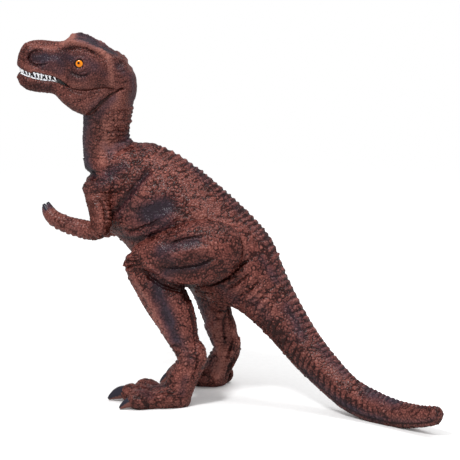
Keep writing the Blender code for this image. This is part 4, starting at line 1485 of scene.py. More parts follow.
def make_head(body_grain, body_knobs):
    swept = shell(jaw_rings(FIT_GAP, JAW_OPENS, JAW_CLOSES))
    forward, leftward, up = HEAD_AXES
    nape = ball(from_head((-6.0, 0, 1.7)), 6.7 * up, 4.4 * leftward, 3.0 * forward)
    shells = [shell(skull_rings()), shell(neck_rings()), nape]
    points, quads = remeshed(shells, coarse(HEAD_VOXEL), [swept])
    points = relaxed(points, quads, 8)
    own = to_head(points)
    pixels = head_pixels(points)
    line = BodyLine(points)
    neck_part = smooth(-3.5, -7.5, own[:, 2])
    outside = smooth(0.25, 0.6, np.abs(normals_of(points, quads) @ leftward))
    flank = 0.35 + 0.65 * smooth(1.0, 0.55, np.abs(line.up))
    neck_forms = painted(seen(line.mirrored), NECK_FORMS) * flank
    forms = painted(pixels, HEAD_FORMS) + painted(pixels, CHEEK_WRINKLES)
    forms = forms * (0.25 + 0.75 * outside) * (1 - neck_part) + neck_forms * neck_part
    profile = seen(from_head(own * (1, 0, 1)))
    for strokes, way in ((RAISED_ROOF, up), (DRAWN_IN_NAPE, forward), (LOWERED_LIP, -up)):
        points = points + np.outer(painted(profile, strokes), way)
    points = relaxed(points, quads, 4)
    points = pushed(points, normals_of(points, quads), forms)
    points = relaxed(points, quads, 1)
    normals = normals_of(points, quads)

    lip = at_share(SKULL, 1, own[:, 0] / HEAD_LENGTH) * HEAD_HEIGHT
    mouth = smooth(-0.35, -0.75, normals[:, 2]) * (own[:, 0] > -2)
    mouth = mouth * smooth(0.9, 0.3, own[:, 2] - lip)
    throat = throat_of(line) * neck_part
    smoothness = 1 - np.maximum(0.8 * mouth, 0.4 * throat)
    beyond = (line.station < 2.6) | (neck_part < 0.9)
    own_seeds = points[scatter(points, 0.72, 43, beyond)]
    shared = np.linalg.norm(body_grain - spine_rows()[NECK_SEAM][:3], axis=1) < 11.0
    grain_seeds = np.concatenate((own_seeds, body_grain[shared]))
    grain, grain_tone = scales(points, 0.80, grain_seeds, 0.075, smoothness)
    allowed = (neck_part > 0.5) & (throat < 0.5) & beyond
    own_seeds = thinned(knob_places(points, KNOB_SPACING, 45, 0.5, allowed))
    big, big_tone = knobs(points, np.concatenate((own_seeds, body_knobs)), *BODY_KNOBS)
    ridge = smooth(0.6, 0.9, normals[:, 2]) * (own[:, 2] > 0.5 * HEAD_HEIGHT)
    places = knob_places(points, 1.5, 47, 0.7, ridge > 0.5)
    bumps, bumps_tone = knobs(points, places, *FACE_KNOBS)
    back, back_tone = back_relief(line, points, 0.5)
    crease = creases(points) * (0.35 + 0.65 * neck_part) * (1 - mouth)
    crease = np.maximum(crease, neck_wrinkles(points, line) * neck_part)
    height = grain + big + bumps - 0.20 * crease + back * smooth(-0.5, -3.0, own[:, 2])
    points = pushed(points, normals, height)

    # The paint's relief: darker in grooves, creases and rings and paler on knobs and ridges,
    # partly as painted shade and painted highlight; the light and shade strokes add more of both
    relief = 0.28 * grain_tone + 0.8 * big_tone + 0.6 * bumps_tone - 0.75 * crease
    relief += painted(pixels, HEAD_RUB_AND_SHADING) * (1 - neck_part)
    relief += painted(seen(line.mirrored), NECK_PAINTED_SHADING) * neck_part
    relief += back_tone * smooth(-0.5, -3.0, own[:, 2]) + 0.55 * forms.clip(-1.2, 0.6)
    patch = painted(pixels, HEAD_SPRAY) * (1 - neck_part) + 0.45 * throat
    patch += painted(seen(line.mirrored), NECK_SPRAY)
    patch += 0.25 * neck_part * smooth(0.86, 0.98, line.up)
    masks = mask_colours(mottled(patch, points, 31), relief, mouth)
    chosen = quads[past_seam(points, quads, NECK_SEAM) < SEAM_LAP]
    put_skin("head_skin", "head", points, chosen, "figure", face_paint, masks)
    return points


JAW_FORMS = [
    (-0.30, 0.9, [(66, 85), (71, 90), (78, 93.5), (86, 93)]),
    (0.30, 2.2, [(60, 89), (68, 96), (78, 99)]),
    (-0.22, 0.9, [(58, 86.5), (62, 92), (69, 98)]),
    (0.20, 1.3, [(21, 77.5), (31, 81), (42, 83.5), (54, 84.5)]),
    (-0.20, 1.0, [(25, 82), (34, 85.5), (45, 87.5)]),
    (-0.65, 0.9, [(86, 115.5), (90, 113), (95, 109.5), (100, 104), (106, 98.5), (110, 95.8)]),
    (-0.35, 0.9, [(100, 104), (106, 98.5), (112, 94.2), (116, 92)]),
    (0.35, 4.0, [(86, 103), (96, 98), (104, 93)]),
]
JAW_CREASE = [(84, 116), (90, 113), (95, 109.5), (100, 104), (106, 98.5), (112, 94.2), (119, 90.5)]
# Painted shade in the crease behind the jaw and under its front, with a painted highlight beside
# the crease
JAW_PAINTED_SHADING = [
    (-0.8, 1.0, JAW_CREASE),
    (0.25, 2.0, [(88, 108), (94, 102), (101, 96)]),
    (-0.35, 3.0, [(24, 83), (36, 87), (50, 88)]),
]
JAW_SPRAY = [
    (0.30, 4.0, [(90, 108), (100, 100)]),
    (0.20, 4.0, [(40, 86), (50, 88)]),
]


# How far forward the jaw is open to the head between its flaps
POCKET_END = 0.19 * HEAD_LENGTH


def make_jaw():
    half = flaps_apart()
    pocket = box_shell(
        (-HEAD_LENGTH, -half, -0.6 * JAW_DEPTH), (POCKET_END, half, HEAD_HEIGHT)
    )
    trough = shell(mouth_rings())
    points, quads = remeshed([shell(jaw_rings(0, 0, 0))], coarse(JAW_VOXEL), [pocket, trough])
    points = relaxed(points, quads, 4)
    own = to_head(points)
    pixels = head_pixels(points)
    normals = normals_of(points, quads)
    outside = smooth(0.1, 0.5, np.abs(normals @ HEAD_AXES[1]))
    forms = painted(pixels, JAW_FORMS)
    points = pushed(points, normals, forms * outside)
    normals = normals_of(points, quads)
    aside = np.abs(own[:, 1])
    lip = at_share(JAW, 1, own[:, 0] / HEAD_LENGTH) * HEAD_HEIGHT
    side = at_share(JAW, 3, own[:, 0] / HEAD_LENGTH) * HEAD_BREADTH
    inner = smooth(0.92, 0.80, aside / side) * smooth(-1.2, -0.2, own[:, 2] - lip + 0.6)
    # The pocket between the flaps is painted mouth-dark, as painted shade in the gap behind the
    # jaw
    in_pocket = (aside < half + 0.1) & (own[:, 0] < POCKET_END)
    mouth = np.maximum(inner * smooth(-0.2, 0.3, normals[:, 2]), in_pocket)
    grain_seeds = points[scatter(points, 0.75, 53)]
    grain, grain_tone = scales(points, 0.75, grain_seeds, 0.07, 1 - 0.8 * mouth)
    places = knob_places(points, 1.7, 55, 0.6, outside > 0.4)
    bumps, bumps_tone = knobs(points, places, *FACE_KNOBS)
    crease = creases(points) * 0.6 * (1 - mouth)
    height = (grain + bumps - 0.16 * crease) * smooth(0.05, 0.25, lip + 0.2 - own[:, 2])
    points = pushed(points, normals, height)
    # The paint's relief: darker in grooves and creases and paler on knobs and ridges, partly as
    # painted shade and painted highlight, with painted shade in the crease behind the jaw
    relief = 0.28 * grain_tone + 0.6 * bumps_tone - 0.7 * crease + 0.7 * forms.clip(-1, 0.5)
    relief += painted(pixels, JAW_PAINTED_SHADING)
    patch = painted(pixels, JAW_SPRAY) * (0.85 + 0.4 * noise(points, 3.0, 35))
    masks = mask_colours(patch, relief, mouth)
    put_skin("lower_jaw_skin", "lower_jaw", points, quads, "jaw", face_paint, masks)


def mouth_rings():
    """The hollow of the mouth inside the lower lip."""
    rings = []
    for _, row, _ in sections(JAW[1:8], 0, 6, 5):
        ahead = row[0] * HEAD_LENGTH - 0.6
        lip = row[1] * HEAD_HEIGHT
        under = row[2] * JAW_DEPTH
        side = row[3] * HEAD_BREADTH
        floor = lip - 0.45 * (lip - under)
        half = [
            (0.30 * side, floor),
            (0.62 * side, floor + 0.25 * (lip - floor)),
            (0.80 * side, lip - 0.05),
            (0.82 * side, lip + 2.0),
            (0.30 * side, lip + 2.0),
        ]
        rings.append(closed_curve(half, ahead, 3))
    return rings


def spike(root, tip, root_radius, tip_radius, sides=10):
    """A slender pointed tooth or spur from root to tip."""
    along = (tip - root) / np.linalg.norm(tip - root)
    aside = np.cross(along, (0.93, 0.31, 0.2))
    aside /= np.linalg.norm(aside)
    across = np.cross(along, aside)
    rings = []
    for part in np.linspace(0, 1, 7):
        radius = root_radius + (tip_radius - root_radius) * part**1.3
        rings.append(oval(root + (tip - root) * part, aside, across, radius, radius, sides))
    return shell(rings)


# Shares of the head's length where the side teeth stand
TOOTH_SHARES = np.linspace(0.950, 0.60, 9)
# Sideways places of the front teeth, and their shares of the head's length
FRONT_TEETH = ((-1.45, 0.961), (-0.5, 0.967), (0.5, 0.967), (1.45, 0.961))
# Share of the jaw's breadth where its own teeth stand
LOWER_ROW = 0.69


def tooth(root, tip, root_radius, tip_radius):
    """A tooth between two places in the head's frame."""
    return spike(from_head(root), from_head(tip), root_radius, tip_radius)


def side_teeth(side):
    """The upper and the lower teeth of one side."""
    upper, lower = [], []
    for number, share in enumerate(TOOTH_SHARES):
        luck = chance(np.array([[number, side + 5, 3]]), 71)[0] - 0.5
        ahead = share * HEAD_LENGTH
        lip = at_share(SKULL, 1, share) * HEAD_HEIGHT
        lip_side = at_share(SKULL, 4, share) * HEAD_BREADTH
        jaw_lip = at_share(JAW, 1, share) * HEAD_HEIGHT
        jaw_side = at_share(JAW, 3, share) * HEAD_BREADTH
        root = (ahead, side * (0.86 * lip_side), lip + 0.5)
        tip_side = side * (0.90 * jaw_side + 0.1)
        tip = (ahead - 0.35 + 0.8 * luck, tip_side, jaw_lip + 0.55 + 0.12 * luck)
        upper.append(tooth(root, tip, 0.40 + 0.12 * luck, 0.17))
        own_side = side * LOWER_ROW * jaw_side
        root = (ahead - 0.7, own_side, jaw_lip - 0.3)
        tip = (ahead - 0.8, own_side, jaw_lip + 0.55 + 0.4 * luck)
        lower.append(tooth(root, tip, 0.40, 0.16))
    return upper, lower


def front_teeth():
    tip_up = at_share(JAW, 1, 0.96) * HEAD_HEIGHT + 0.85
    made = []
    for aside, share in FRONT_TEETH:
        ahead = share * HEAD_LENGTH
        root = (ahead, 1.1 * aside, 0.52 * HEAD_HEIGHT)
        made.append(tooth(root, (ahead, aside, tip_up), 0.40, 0.18))
    return made


def tooth_strip():
    """The uneven strip that the lower teeth stand in, round the jaw from side to side."""
    units = (HEAD_LENGTH, HEAD_BREADTH, HEAD_HEIGHT)
    shares = np.linspace(0.58, 0.955, 14)
    path = np.stack((shares, at_share(JAW, 3, shares), at_share(JAW, 1, shares)), 1) * units
    path = np.concatenate((path * (1, -1, 1), path[::-1]))
    rings = []
    for number, (ahead, side, lip) in enumerate(path):
        wave = 0.12 * math.sin(2.3 * number)
        centre = np.array((ahead - 0.3, LOWER_ROW * side, lip + 0.04 + wave))
        run = path[min(number + 1, len(path) - 1)] - path[max(number - 1, 0)]
        run = run * (1, 1, 0) / np.linalg.norm(run[:2])
        outward = np.array((run[1], -run[0], 0))
        rings.append(from_head(oval(centre, outward, np.array((0, 0, 1.0)), 0.34, 0.50, 10)))
    return shell(rings)


def make_teeth():
    (right_upper, right_lower), (left_upper, left_lower) = side_teeth(-1), side_teeth(1)
    points, faces = joined(right_upper + left_upper + front_teeth())
    put("upper_teeth", points, faces, "figure", tooth_white)
    points, faces = joined(right_lower + left_lower + [tooth_strip()])
    put("lower_teeth", points, faces, "jaw", tooth_white)


# Place of the eyes in the head's frame, the ball's radius and how far it stands out
EYE_AHEAD, EYE_UP = 9.85, 10.72
EYE_RADIUS = 2.3
EYE_SHOWS = 0.92


def make_eyes(head_points):
    own = to_head(head_points)
    for name, side in (("eye_left", 1), ("eye_right", -1)):
        far = np.hypot(own[:, 0] - EYE_AHEAD, own[:, 2] - EYE_UP)
        out = np.median(own[(far < 1.3) & (own[:, 1] * side > 3)][:, 1] * side)
        centre = np.array((EYE_AHEAD, side * (out + EYE_SHOWS - EYE_RADIUS), EYE_UP))
        tilt = np.array((0.10, side * 1.0, 0.05))
        tilt /= np.linalg.norm(tilt)
        aside = np.cross(tilt, (0, 0, 1))
        aside /= np.linalg.norm(aside)
        above = np.cross(aside, tilt)
        plane = np.stack((aside, above), 1)
        gaze = np.array((0.22, 0, 0.25)) @ plane
        rings, rims = [], []
        for angle in np.linspace(0.02, math.radians(75), 36):
            radius = EYE_RADIUS * math.sin(angle)
            place = centre + tilt * EYE_RADIUS * math.cos(angle)
            ring = oval(place, aside, above, radius, radius, 48)
            rings.append(from_head(ring))
            pupil = np.linalg.norm((ring - centre) @ plane - gaze, axis=1)
            iris = max(radius / 1.66, 0.36)
            rims.append(np.where(pupil < 0.45, 0.6 * pupil, iris))
        rings.reverse()
        rims.reverse()
        points, faces = shell(rings)
        masks = one_mask(np.concatenate(rims))
        put(name, points, faces, "figure", eye_colours, masks)


# Limbs

LEG_FORMS = [
    # knee knobs, the wrinkles that spread from them, and the fold under the thigh
    (1.3, 2.2, [(129.5, 257.6)]),
    (1.3, 2.2, [(126.8, 263.6)]),
    (1.2, 2.2, [(128.8, 269.3)]),
    (-0.75, 1.0, [(125, 260.5), (137, 262), (144, 263)]),
    (-0.75, 1.0, [(125, 266.6), (137, 265.5), (144, 264)]),
    (-0.35, 0.9, [(130, 273), (138, 269), (145, 266)]),
    (-0.45, 0.9, [(133, 254), (139, 258.5), (146, 261)]),
    (-1.4, 1.7, THIGH_FOLD),
    (0.8, 2.4, [(147, 264), (157, 271), (169, 278.5), (184, 281.5), (200, 280.5), (214, 276)]),
    # furrows of the thigh
    (-0.95, 1.0, [(168, 244.5), (174, 241.6), (181, 239), (191, 237), (205, 236)]),
    (0.45, 1.8, [(170, 238), (180, 234.5), (192, 232.5)]),
    (-0.35, 3.4, [(166, 246), (182, 243), (196, 241)]),
    (-1.05, 1.0, [(162, 268), (172, 269), (184, 268), (198, 266), (208, 262.5), (220, 256)]),
    (-0.3, 3.2, [(160, 270), (180, 271), (200, 268)]),
    (0.45, 4.5, [(172, 256), (190, 252), (208, 248)]),
    (0.45, 3.0, [(170, 280), (190, 280), (210, 274)]),
    # calf, shin and the tendons behind
    (-0.45, 4.0, [(154, 288), (162, 308), (172, 330), (178, 344)]),
    (0.5, 3.0, [(140, 284), (150, 304), (162, 326), (172, 344)]),
    (0.4, 3.5, [(172, 298), (180, 316), (186, 334)]),
    (-0.7, 1.0, [(189, 302), (192, 316), (194.2, 329), (194.7, 340), (196.6, 353)]),
    (-0.7, 1.0, [(196.6, 353), (197.8, 362), (194.7, 373), (190.5, 382)]),
    (0.3, 1.6, [(192, 302), (196, 322), (198.5, 340), (202, 354)]),
    (-0.35, 1.2, [(184, 352), (188, 362), (186, 376), (182, 390)]),
    (-0.35, 1.0, [(176, 352), (186, 350), (198, 350)]),
    (-0.35, 1.0, [(178, 359), (190, 358), (204, 360)]),
    (-0.30, 1.0, [(176, 367), (188, 368), (202, 369)]),
    # instep and toes
    (-0.5, 1.2, [(150, 396), (162, 392), (176, 392)]),
    (-0.5, 1.1, [(139, 384), (141, 391), (138, 398)]),
    (-0.4, 1.0, [(147, 381), (150, 388), (146, 395)]),
    (-0.4, 1.0, [(157, 383), (160, 390)]),
    (-0.4, 1.0, [(146, 399), (148, 408)]),
    (-0.35, 1.0, [(156, 398), (158, 408)]),
    (0.3, 2.0, [(168, 402), (182, 402)]),
    (0.45, 1.3, [(124.8, 386)]),
    (0.45, 1.3, [(130.8, 385.5)]),
    (0.4, 2.0, [(145, 380), (151, 380.5)]),
    (0.35, 1.2, [(158, 386), (166, 376), (171, 366)]),
    (-0.4, 0.9, [(162, 389), (170, 379.5), (176, 370)]),
    (-0.4, 0.9, [(170, 393), (178, 384), (184, 373)]),
    (-0.4, 0.9, [(180, 397), (186, 388), (189, 378)]),
    (0.3, 1.3, [(174, 389), (182, 380)]),
    (-0.35, 0.9, [(134, 396), (146, 394.5), (158, 394)]),
]
LEG_SHAPES = [
    (-1.3, 3.4, [(127, 249.5)]),
    (-1.7, 4.0, [(187, 288), (189.5, 298)]),
    (0.9, 7.5, [(202, 345), (206, 357)]),
    (-0.5, 2.5, [(136, 383.5)]),
]
# The side of the right leg that shows between the legs
FAR_LEG_FORMS = [
    (-1.9, 5.0, [(238, 362), (234, 372), (231, 380), (229, 389)]),
    (-1.2, 4.5, [(190, 290), (195, 303), (202, 320)]),
    (-1.1, 4.0, [(233, 370), (231, 382)]),
    (0.5, 2.0, FAR_TENDON),
    (-0.6, 2.2, [(214, 356), (210, 370), (208, 380)]),
    (-0.6, 1.2, FAR_FURROW),
    (-0.5, 1.5, [(207, 307), (220, 311), (233, 310)]),
]
# Painted light on the far leg, which lies in the near leg's shadow: paler over its side and
# tendon, darker along its furrow
FAR_LEG_PAINTED_SHADING = [
    (0.55, 10.0, [(208, 318), (218, 335), (222, 350), (218, 372)]),
    (0.45, 3.0, FAR_TENDON),
    (0.35, 4.0, [(231, 330), (236, 345), (236, 356)]),
    (-0.5, 1.5, FAR_FURROW),
]
FAR_LEG_SPRAY = [
    (0.8, 3.4, [(191, 290), (198, 306), (207, 328), (212, 345)]),
    (0.4, 4.0, [(212, 350), (209, 364)]),
]
# Paler where the paint was rubbed and as painted highlight on the shin's front, the thigh's top
# and the lower shank; darker as painted shade under the thigh, along the tendon and in the thigh's
# furrows
LEG_RUB_AND_SHADING = [
    (-0.7, 4.5, [(158, 286), (172, 290), (186, 290)]),
    (-0.5, 2.2, [(189, 302), (193, 318), (196, 334), (199, 348)]),
    (0.45, 3.6, [(134, 278), (146, 299), (158, 320), (168, 338)]),
    (0.30, 8.0, [(206, 246), (218, 244)]),
    (0.25, 5.0, [(150, 262), (160, 258)]),
    (-0.25, 6.0, [(180, 279), (200, 279), (216, 274)]),
    (-0.4, 1.3, [(170, 243.4), (180, 239), (190, 237), (203, 236)]),
    (-0.5, 1.4, [(164, 269), (184, 268), (198, 266), (208, 262.5), (219, 257)]),
    (-0.25, 9.0, [(160, 262), (180, 266), (204, 262)]),
    (-0.7, 2.0, THIGH_FOLD),
    (0.35, 6.0, [(184, 350), (186, 372), (180, 386)]),
]
LEG_SPRAY = [
    (0.80, 5.5, [(160, 250), (176, 246), (196, 241)]),
    (0.40, 6.0, [(156, 256), (172, 260)]),
    (0.60, 3.5, [(166, 271), (186, 270), (206, 264)]),
    (0.40, 5.0, [(154, 272), (170, 277)]),
    (1.00, 6.0, [(155, 286), (161, 304), (168, 322), (176, 340)]),
    (0.50, 5.0, [(160, 290), (166, 306), (173, 322)]),
    (0.40, 4.5, [(182, 344), (190, 360)]),
    (0.45, 4.0, [(186, 378), (182, 392)]),
    (0.45, 4.5, [(150, 386), (162, 384)]),
    (0.50, 4.0, [(140, 390), (150, 396)]),
]


# How far each toe's flesh and its claw reach, how low and slim the claw is, and where its
# paint turns brown
TOE_LOOKS = {
    "inner": (1.07, 0.97, 1.0, 1.0, -0.45),
    "middle": (1.0, 1.0, 1.0, 1.0, 0.30),
    "outer": (1.045, 1.0, 0.80, 0.82, -0.35),
}
CLAW_SIDES = 20


def toe_line(side, angle, length_share, heel):
    heading = math.radians(FOOT_SPLAY + angle) * side
    direction = np.array((-math.cos(heading), math.sin(heading), 0))
    start = np.array((heel[0] * LENGTH - SHIFT, -side * heel[1] * STANCE / 2, 0))
    root = start + direction * FOOT * TOE_ROOT
    return root, direction, FOOT * (length_share - TOE_ROOT)


def toe_rings(shares, line, reach, sides, low=1.0, slim=1.0):
    """Rings of a toe or a claw, from its shares along the toe's line."""
    root, direction, length = line
    rows = []
    for along, up, tall, broad in shares:
        x, y, _ = root + direction * length * along * reach
        rows.append((x, y, up * TOE_DEPTH * low, tall * TOE_DEPTH * slim, broad * TOE_DEPTH))
    return limb_rings(rows, sides, 5, math.atan2(direction[1], direction[0]))


def toes_of(name, side):
    """Shells of a foot's toes and of its claws, and how far the claws' paint is worn."""
    toes, claws, wear = [], [], []
    flesh = [(along, up, radius, radius) for along, up, radius in TOE]
    under = -np.sin(np.arange(CLAW_SIDES) * 2 * math.pi / CLAW_SIDES)
    for which, angle, length_share in TOES:
        line = toe_line(side, angle, length_share, HEELS[name])
        reaching, clawed, low, slim, brown_from = TOE_LOOKS[which]
        if side > 0 and which == "middle":
            clawed = 0.91
        toes.append(shell(toe_rings(flesh, line, reaching, 28)))
        rings = toe_rings(CLAW, line, clawed, CLAW_SIDES, low, slim)
        claws.append(shell(rings))
        worn = 0.12 + 0.80 * smooth(brown_from - 0.35, brown_from + 0.35, under)
        wear.append(np.tile(worn, len(rings)))
    return toes, claws, np.concatenate(wear)


def make_leg(name, side, thigh_shares, shank_shares):
    thigh = leg_rows(thigh_shares, side, *THIGH)
    shank = leg_rows(shank_shares, side, *SHANK)
    toes, claws, wear = toes_of(name, side)
    shells = [shell(limb_rings(thigh, 48, 5)), shell(limb_rings(shank, 40, 5)), *toes]
    points, quads = remeshed(shells, coarse(LEG_VOXEL))
    points = relaxed(points, quads, 8)
    standing = points[:, 2].copy()
    own = points.copy()
    own[:, 1] = -LEG_ASIDE - np.abs(points[:, 1] - side * LEG_ASIDE)
    pixels = seen(own)
    normals = normals_of(points, quads)
    flank = smooth(0.1, 0.6, np.abs(normals[:, 1]))
    forms = painted(pixels, LEG_FORMS) * (0.3 + 0.7 * flank) + painted(pixels, LEG_SHAPES)
    inner = smooth(0.1, -0.3, normals[:, 1] * side)
    far_shading = far_patch = 0
    if side > 0:
        far_forms, far_shading, far_patch = (
            painted(seen(points), strokes) * inner
            for strokes in (FAR_LEG_FORMS, FAR_LEG_PAINTED_SHADING, FAR_LEG_SPRAY)
        )
        forms += far_forms
    points = pushed(points, normals, forms * smooth(0.0, 1.2, standing))
    points = relaxed(points, quads, 1)
    normals = normals_of(points, quads)
    thigh_part = smooth(36.0, 44.0, points[:, 2])
    foot = smooth(12.0, 7.0, points[:, 2])
    shin = smooth(44.0, 40.0, points[:, 2]) * (1 - foot)
    grain_seeds = points[scatter(points, SCALE_SPACING, 63 + side)]
    grain, grain_tone = scales(points, SCALE_SPACING, grain_seeds, 0.08)
    allowed = (thigh_part > 0.3) | (shin > 0.3)
    places = knob_places(points, KNOB_SPACING, 65 + side, 0.48, allowed)
    knob, knob_tone = knobs(points, places, *LEG_KNOBS)
    crease = creases(points)
    plates = hump(wrapped(points[:, 0] * 0.6 + points[:, 2], 1.9), 0.35)
    front = smooth(0.2, 0.8, -normals[:, 0]) * smooth(24.0, 16.0, points[:, 2])
    height = grain + knob - 0.19 * crease - 0.22 * plates * front
    points = pushed(points, normals, height * smooth(0.1, 1.0, standing))
    points[:, 2] = np.maximum(points[:, 2], 0.0)
    # The paint's relief: darker in grooves, creases and the foot's plates and paler on knobs and
    # ridges, partly as painted shade and painted highlight, and a little darker over the thigh;
    # the light and shade strokes add more of both
    relief = 0.25 * grain_tone + 0.9 * knob_tone - 0.78 * crease + 0.55 * forms.clip(-1.2, 0.5)
    # The far leg's strokes add painted light and painted shade to the paint
    relief += painted(pixels, LEG_RUB_AND_SHADING) + far_shading - 0.14 * thigh_part
    relief -= 0.5 * plates * front
    patch = painted(pixels, LEG_SPRAY) * (1 - 0.7 * inner) + far_patch
    masks = mask_colours(mottled(patch, points, 37), relief)
    put_skin(f"leg_{name}_skin", f"leg_{name}", points, quads, "figure", skin_paint, masks)
    claw_points, claw_faces = joined(claws)
    claw_points[:, 2] = np.maximum(claw_points[:, 2], 0.0)
    masks = one_mask(wear)
    put(f"claws_{name}", claw_points, claw_faces, "figure", claw_paint, masks)


def limb_stations(points, rows):
    """Station along a limb and the turn around it, nought at its upper or rear side."""
    kept = sections(rows, 0, len(rows) - 1, 16)
    centres = np.array([row[:3] for _, row, _ in kept])
    runs = runs_of(centres)
    best = nearest_centre(points, centres)
    along = np.array([way for *_, way in kept])[best]
    off = points - centres[best]
    ahead = (off * along).sum(1)
    station = np.array([position for position, *_ in kept])[best]
    across = np.array((0, 1, 0)) - along * along[:, 1:2]
    across /= np.linalg.norm(across, axis=1)[:, None]
    upward = np.cross(along, across)
    return station, runs[best] + ahead, (off * across).sum(1), (off * upward).sum(1)


# Rows of an arm at the hand's root and near its tip, and the stations where the spray begins
HAND_ROW = 9
TIP_ROW = 11
ARM_SPRAY_STATIONS = (9.6, 10.8)
ARM_FORMS = [
    (0.5, 3.2, [(92, 199), (96, 208), (98, 220)]),
    (-0.5, 1.0, [(95, 198), (102, 203), (105.5, 212), (105, 224)]),
    (0.3, 1.2, [(104, 201), (108.5, 210), (109, 222)]),
    (-0.4, 0.9, [(91, 213), (96, 216), (99, 222)]),
]


def make_arm(name, side, shares):
    rows = arm_rows(shares)
    hand = np.array(rows[HAND_ROW][:3])
    reach_out = np.array(rows[TIP_ROW][:3]) - hand
    across = np.array((0.25, 1.0, 0.1))
    shells = [shell(limb_rings(rows[: TIP_ROW + 1], 36, 6))]
    claws = []
    for spread in (-1, 1):
        root = hand + across * 0.85 * spread
        knuckle = hand + reach_out * 0.62 + across * 1.0 * spread
        end = hand + reach_out * 1.12 + across * 1.05 * spread
        shells.append(spike(root, knuckle, 1.55, 1.15, 16))
        claws.append(spike(knuckle - reach_out * 0.12, end, 1.05, 0.55, 16))
    points, quads = remeshed(shells, coarse(ARM_VOXEL))
    points = relaxed(points, quads, 5)
    station, run, aside, above = limb_stations(points, rows)
    normals = normals_of(points, quads)
    wander = 0.35 * noise(points, 3.0, 81, 2)
    ribs = hump(wrapped(run + wander, 1.45), 0.26)
    upper = smooth(2.2, 3.0, station) * smooth(6.2, 5.2, station)
    lower = smooth(6.0, 6.8, station) * smooth(9.6, 9.0, station)
    elbow = hump(station - 5.6, 0.8)
    radius = np.hypot(aside, above)
    rear = smooth(0.35, 0.9, above / radius)
    under = np.clip(above / radius, 0, 1)
    beads = 0.5 - 0.5 * np.cos(2 * math.pi * run / 2.1)
    knuckles = 0.34 * lower * smooth(0.35, 0.95, under) * beads**1.5
    own = points.copy()
    own[:, 1] = -np.abs(points[:, 1])
    shaped = painted(seen(own), ARM_FORMS) if name == "left" else 0
    forms = -0.40 * ribs * upper * rear**2 - 0.12 * ribs * lower + shaped
    forms += knuckles - 0.2 * ribs * elbow
    points = pushed(points, normals, forms)
    points = relaxed(points, quads, 1)
    normals = normals_of(points, quads)
    grain, grain_tone = scales(points, 0.8, points[scatter(points, 0.8, 83 + side)], 0.06)
    crease = creases(points * (1, 1, 1.3)) * smooth(9.6, 8.6, station)
    allowed = ((station < 6.4) & (station > 2)) | ((under < 0.2) & (station < 9))
    places = knob_places(points, 1.8, 85 + side, 0.5, allowed)
    knob, knob_tone = knobs(points, places, *ARM_KNOBS)
    points = pushed(points, normals, grain + knob - 0.15 * crease)
    # The paint's relief: darker in the ribs' grooves and creases and paler on knobs and knuckles,
    # partly as painted shade and painted highlight; the upper arm, most on its side away from the
    # rear, and the arm's root are darker too
    relief = 0.25 * grain_tone + 0.7 * knob_tone + 1.5 * np.clip(forms, -0.5, 0.12)
    relief += 0.1 - 0.6 * crease
    relief -= 0.35 * upper * smooth(0.5, -0.2, above / radius) + 0.15 * upper
    relief -= 0.30 * smooth(4.2, 2.4, station)
    patch = 0.9 * smooth(*ARM_SPRAY_STATIONS, station) + 0.25 * noise(points, 3.0, 87) * lower
    masks = mask_colours(patch, relief)
    put_skin(f"arm_{name}_skin", f"arm_{name}", points, quads, "figure", arm_paint, masks)
    claw_points, claw_faces = joined(claws)
    masks = one_mask(np.full(len(claw_points), 0.15))
    put(f"fingertips_{name}", claw_points, claw_faces, "figure", claw_paint, masks)


head_points = make_head(*make_body())
make_tongue()
make_jaw()
make_teeth()
make_eyes(head_points)
make_leg("left", -1, LEFT_THIGH, LEFT_SHANK)
make_leg("right", 1, RIGHT_THIGH, RIGHT_SHANK)
make_arm("left", -1, LEFT_ARM)
make_arm("right", 1, RIGHT_ARM)

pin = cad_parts["jaw_pin"]
pin.data.materials.clear()
pin.data.materials.append(steel())


# Floor, light and camera

# How strongly the white world lights the figure, and how bright it shows
WORLD_LIGHTS = 0.78
WORLD_SHOWS = 1.0
# Name, place, size in metres and power in watts
LAMPS = [("key", (-0.08, -0.56, 0.74), 0.16, 5.3), ("top", (0.30, 0.05, 0.90), 0.40, 3.2)]
LAMPS_AIM_AT = (0, 0, 0.06)
# The floor's colour for the light that it throws back at the figure
FLOOR_TO_LIGHT = (0.62, 0.60, 0.58)
FLOOR_WHITES = [(0.3, (0.93, 0.93, 0.93)), (0.7, (0.96, 0.96, 0.96))]
# Between these distances from its middle the floor fades out, in metres
FLOOR_FADE = (0.12, 0.40)


def background_rays(tree):
    """One for the rays that show the background as it is, nought for those that only light."""
    rays = tree.nodes.new("ShaderNodeLightPath")
    camera, clear = rays.outputs["Is Camera Ray"], rays.outputs["Is Transmission Ray"]
    either = maths(tree, "MAXIMUM", camera, clear)
    return maths(tree, "MAXIMUM", either, rays.outputs["Is Glossy Ray"])


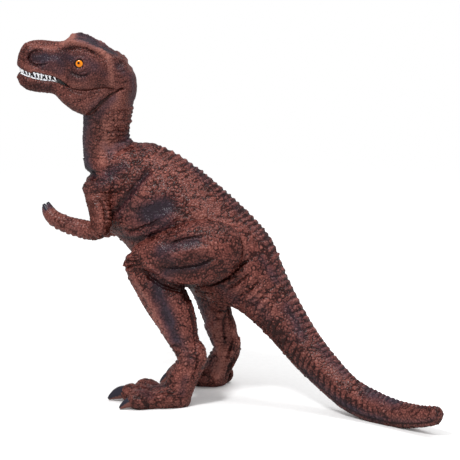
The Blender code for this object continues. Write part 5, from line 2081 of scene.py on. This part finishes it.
def make_floor():
    """A white disc that fades out, so that the figure's faint shadow lies on plain white."""
    middle, ahead, aside = np.zeros(3), np.array((1.0, 0, 0)), np.array((0, 1.0, 0))
    radii = (0.9, 0.45, 0.2, 0.1, 0.001)
    points, faces = shell([oval(middle, ahead, aside, radius, radius, 64) for radius in radii])
    # Without the lid over the widest ring
    faces.pop(-2)
    floor = object_of("floor", (points, faces))
    material = bpy.data.materials.new("floor_white")
    material.use_nodes = True
    tree = material.node_tree
    tree.nodes.clear()
    link = tree.links.new
    output = tree.nodes.new("ShaderNodeOutputMaterial")
    diffuse = tree.nodes.new("ShaderNodeBsdfDiffuse")
    clear = tree.nodes.new("ShaderNodeBsdfTransparent")
    blend = tree.nodes.new("ShaderNodeMixShader")
    place = tree.nodes.new("ShaderNodeTexCoord")
    length = tree.nodes.new("ShaderNodeVectorMath")
    length.operation = "LENGTH"
    link(place.outputs["Object"], length.inputs[0])
    speck = tree.nodes.new("ShaderNodeTexNoise")
    speck.inputs["Scale"].default_value = 900
    white = ramp(tree, speck.outputs["Fac"], FLOOR_WHITES)
    white = mix(tree, background_rays(tree), FLOOR_TO_LIGHT, white)
    link(white, diffuse.inputs["Color"])
    fade = tree.nodes.new("ShaderNodeMapRange")
    fade.interpolation_type = "SMOOTHSTEP"
    fade.inputs["From Min"].default_value, fade.inputs["From Max"].default_value = FLOOR_FADE
    link(length.outputs["Value"], fade.inputs["Value"])
    link(fade.outputs["Result"], blend.inputs["Fac"])
    link(diffuse.outputs[0], blend.inputs[1])
    link(clear.outputs[0], blend.inputs[2])
    link(blend.outputs[0], output.inputs["Surface"])
    floor.data.materials.append(material)


def lamp(name, place, size, power):
    light = bpy.data.lights.new(name, "AREA")
    light.shape = "DISK"
    light.size = size
    light.energy = power
    held = in_scene(name, light)
    held.location = place
    aim = Vector(LAMPS_AIM_AT) - Vector(place)
    held.rotation_euler = aim.to_track_quat("-Z", "Y").to_euler()


def light_scene():
    world = bpy.data.worlds.new("studio")
    bpy.context.scene.world = world
    world.use_nodes = True
    tree = world.node_tree
    tree.nodes.clear()
    output = tree.nodes.new("ShaderNodeOutputWorld")
    blend = tree.nodes.new("ShaderNodeMixShader")
    tree.links.new(background_rays(tree), blend.inputs["Fac"])
    for socket, strength in ((1, WORLD_LIGHTS), (2, WORLD_SHOWS)):
        white = tree.nodes.new("ShaderNodeBackground")
        white.inputs["Color"].default_value = (1, 1, 1, 1)
        white.inputs["Strength"].default_value = strength
        tree.links.new(white.outputs[0], blend.inputs[socket])
    tree.links.new(blend.outputs[0], output.inputs["Surface"])
    for values in LAMPS:
        lamp(*values)


def make_camera():
    data = bpy.data.cameras.new("camera")
    held = in_scene("camera", data)
    place = (LOOK_AT + BACKWARD * DISTANCE) / 1000
    held.location = place
    held.rotation_euler = Vector(-BACKWARD).to_track_quat("-Z", "Y").to_euler()
    data.sensor_width = SENSOR
    data.lens = SENSOR * DISTANCE / (FRAME_SIDE / PIXELS_PER_MM)
    data.clip_start = 0.1
    data.clip_end = 10.0
    bpy.context.scene.camera = held


make_floor()
light_scene()
make_camera()
bpy.context.scene.view_settings.view_transform = "Standard"

bpy.context.view_layer.update()
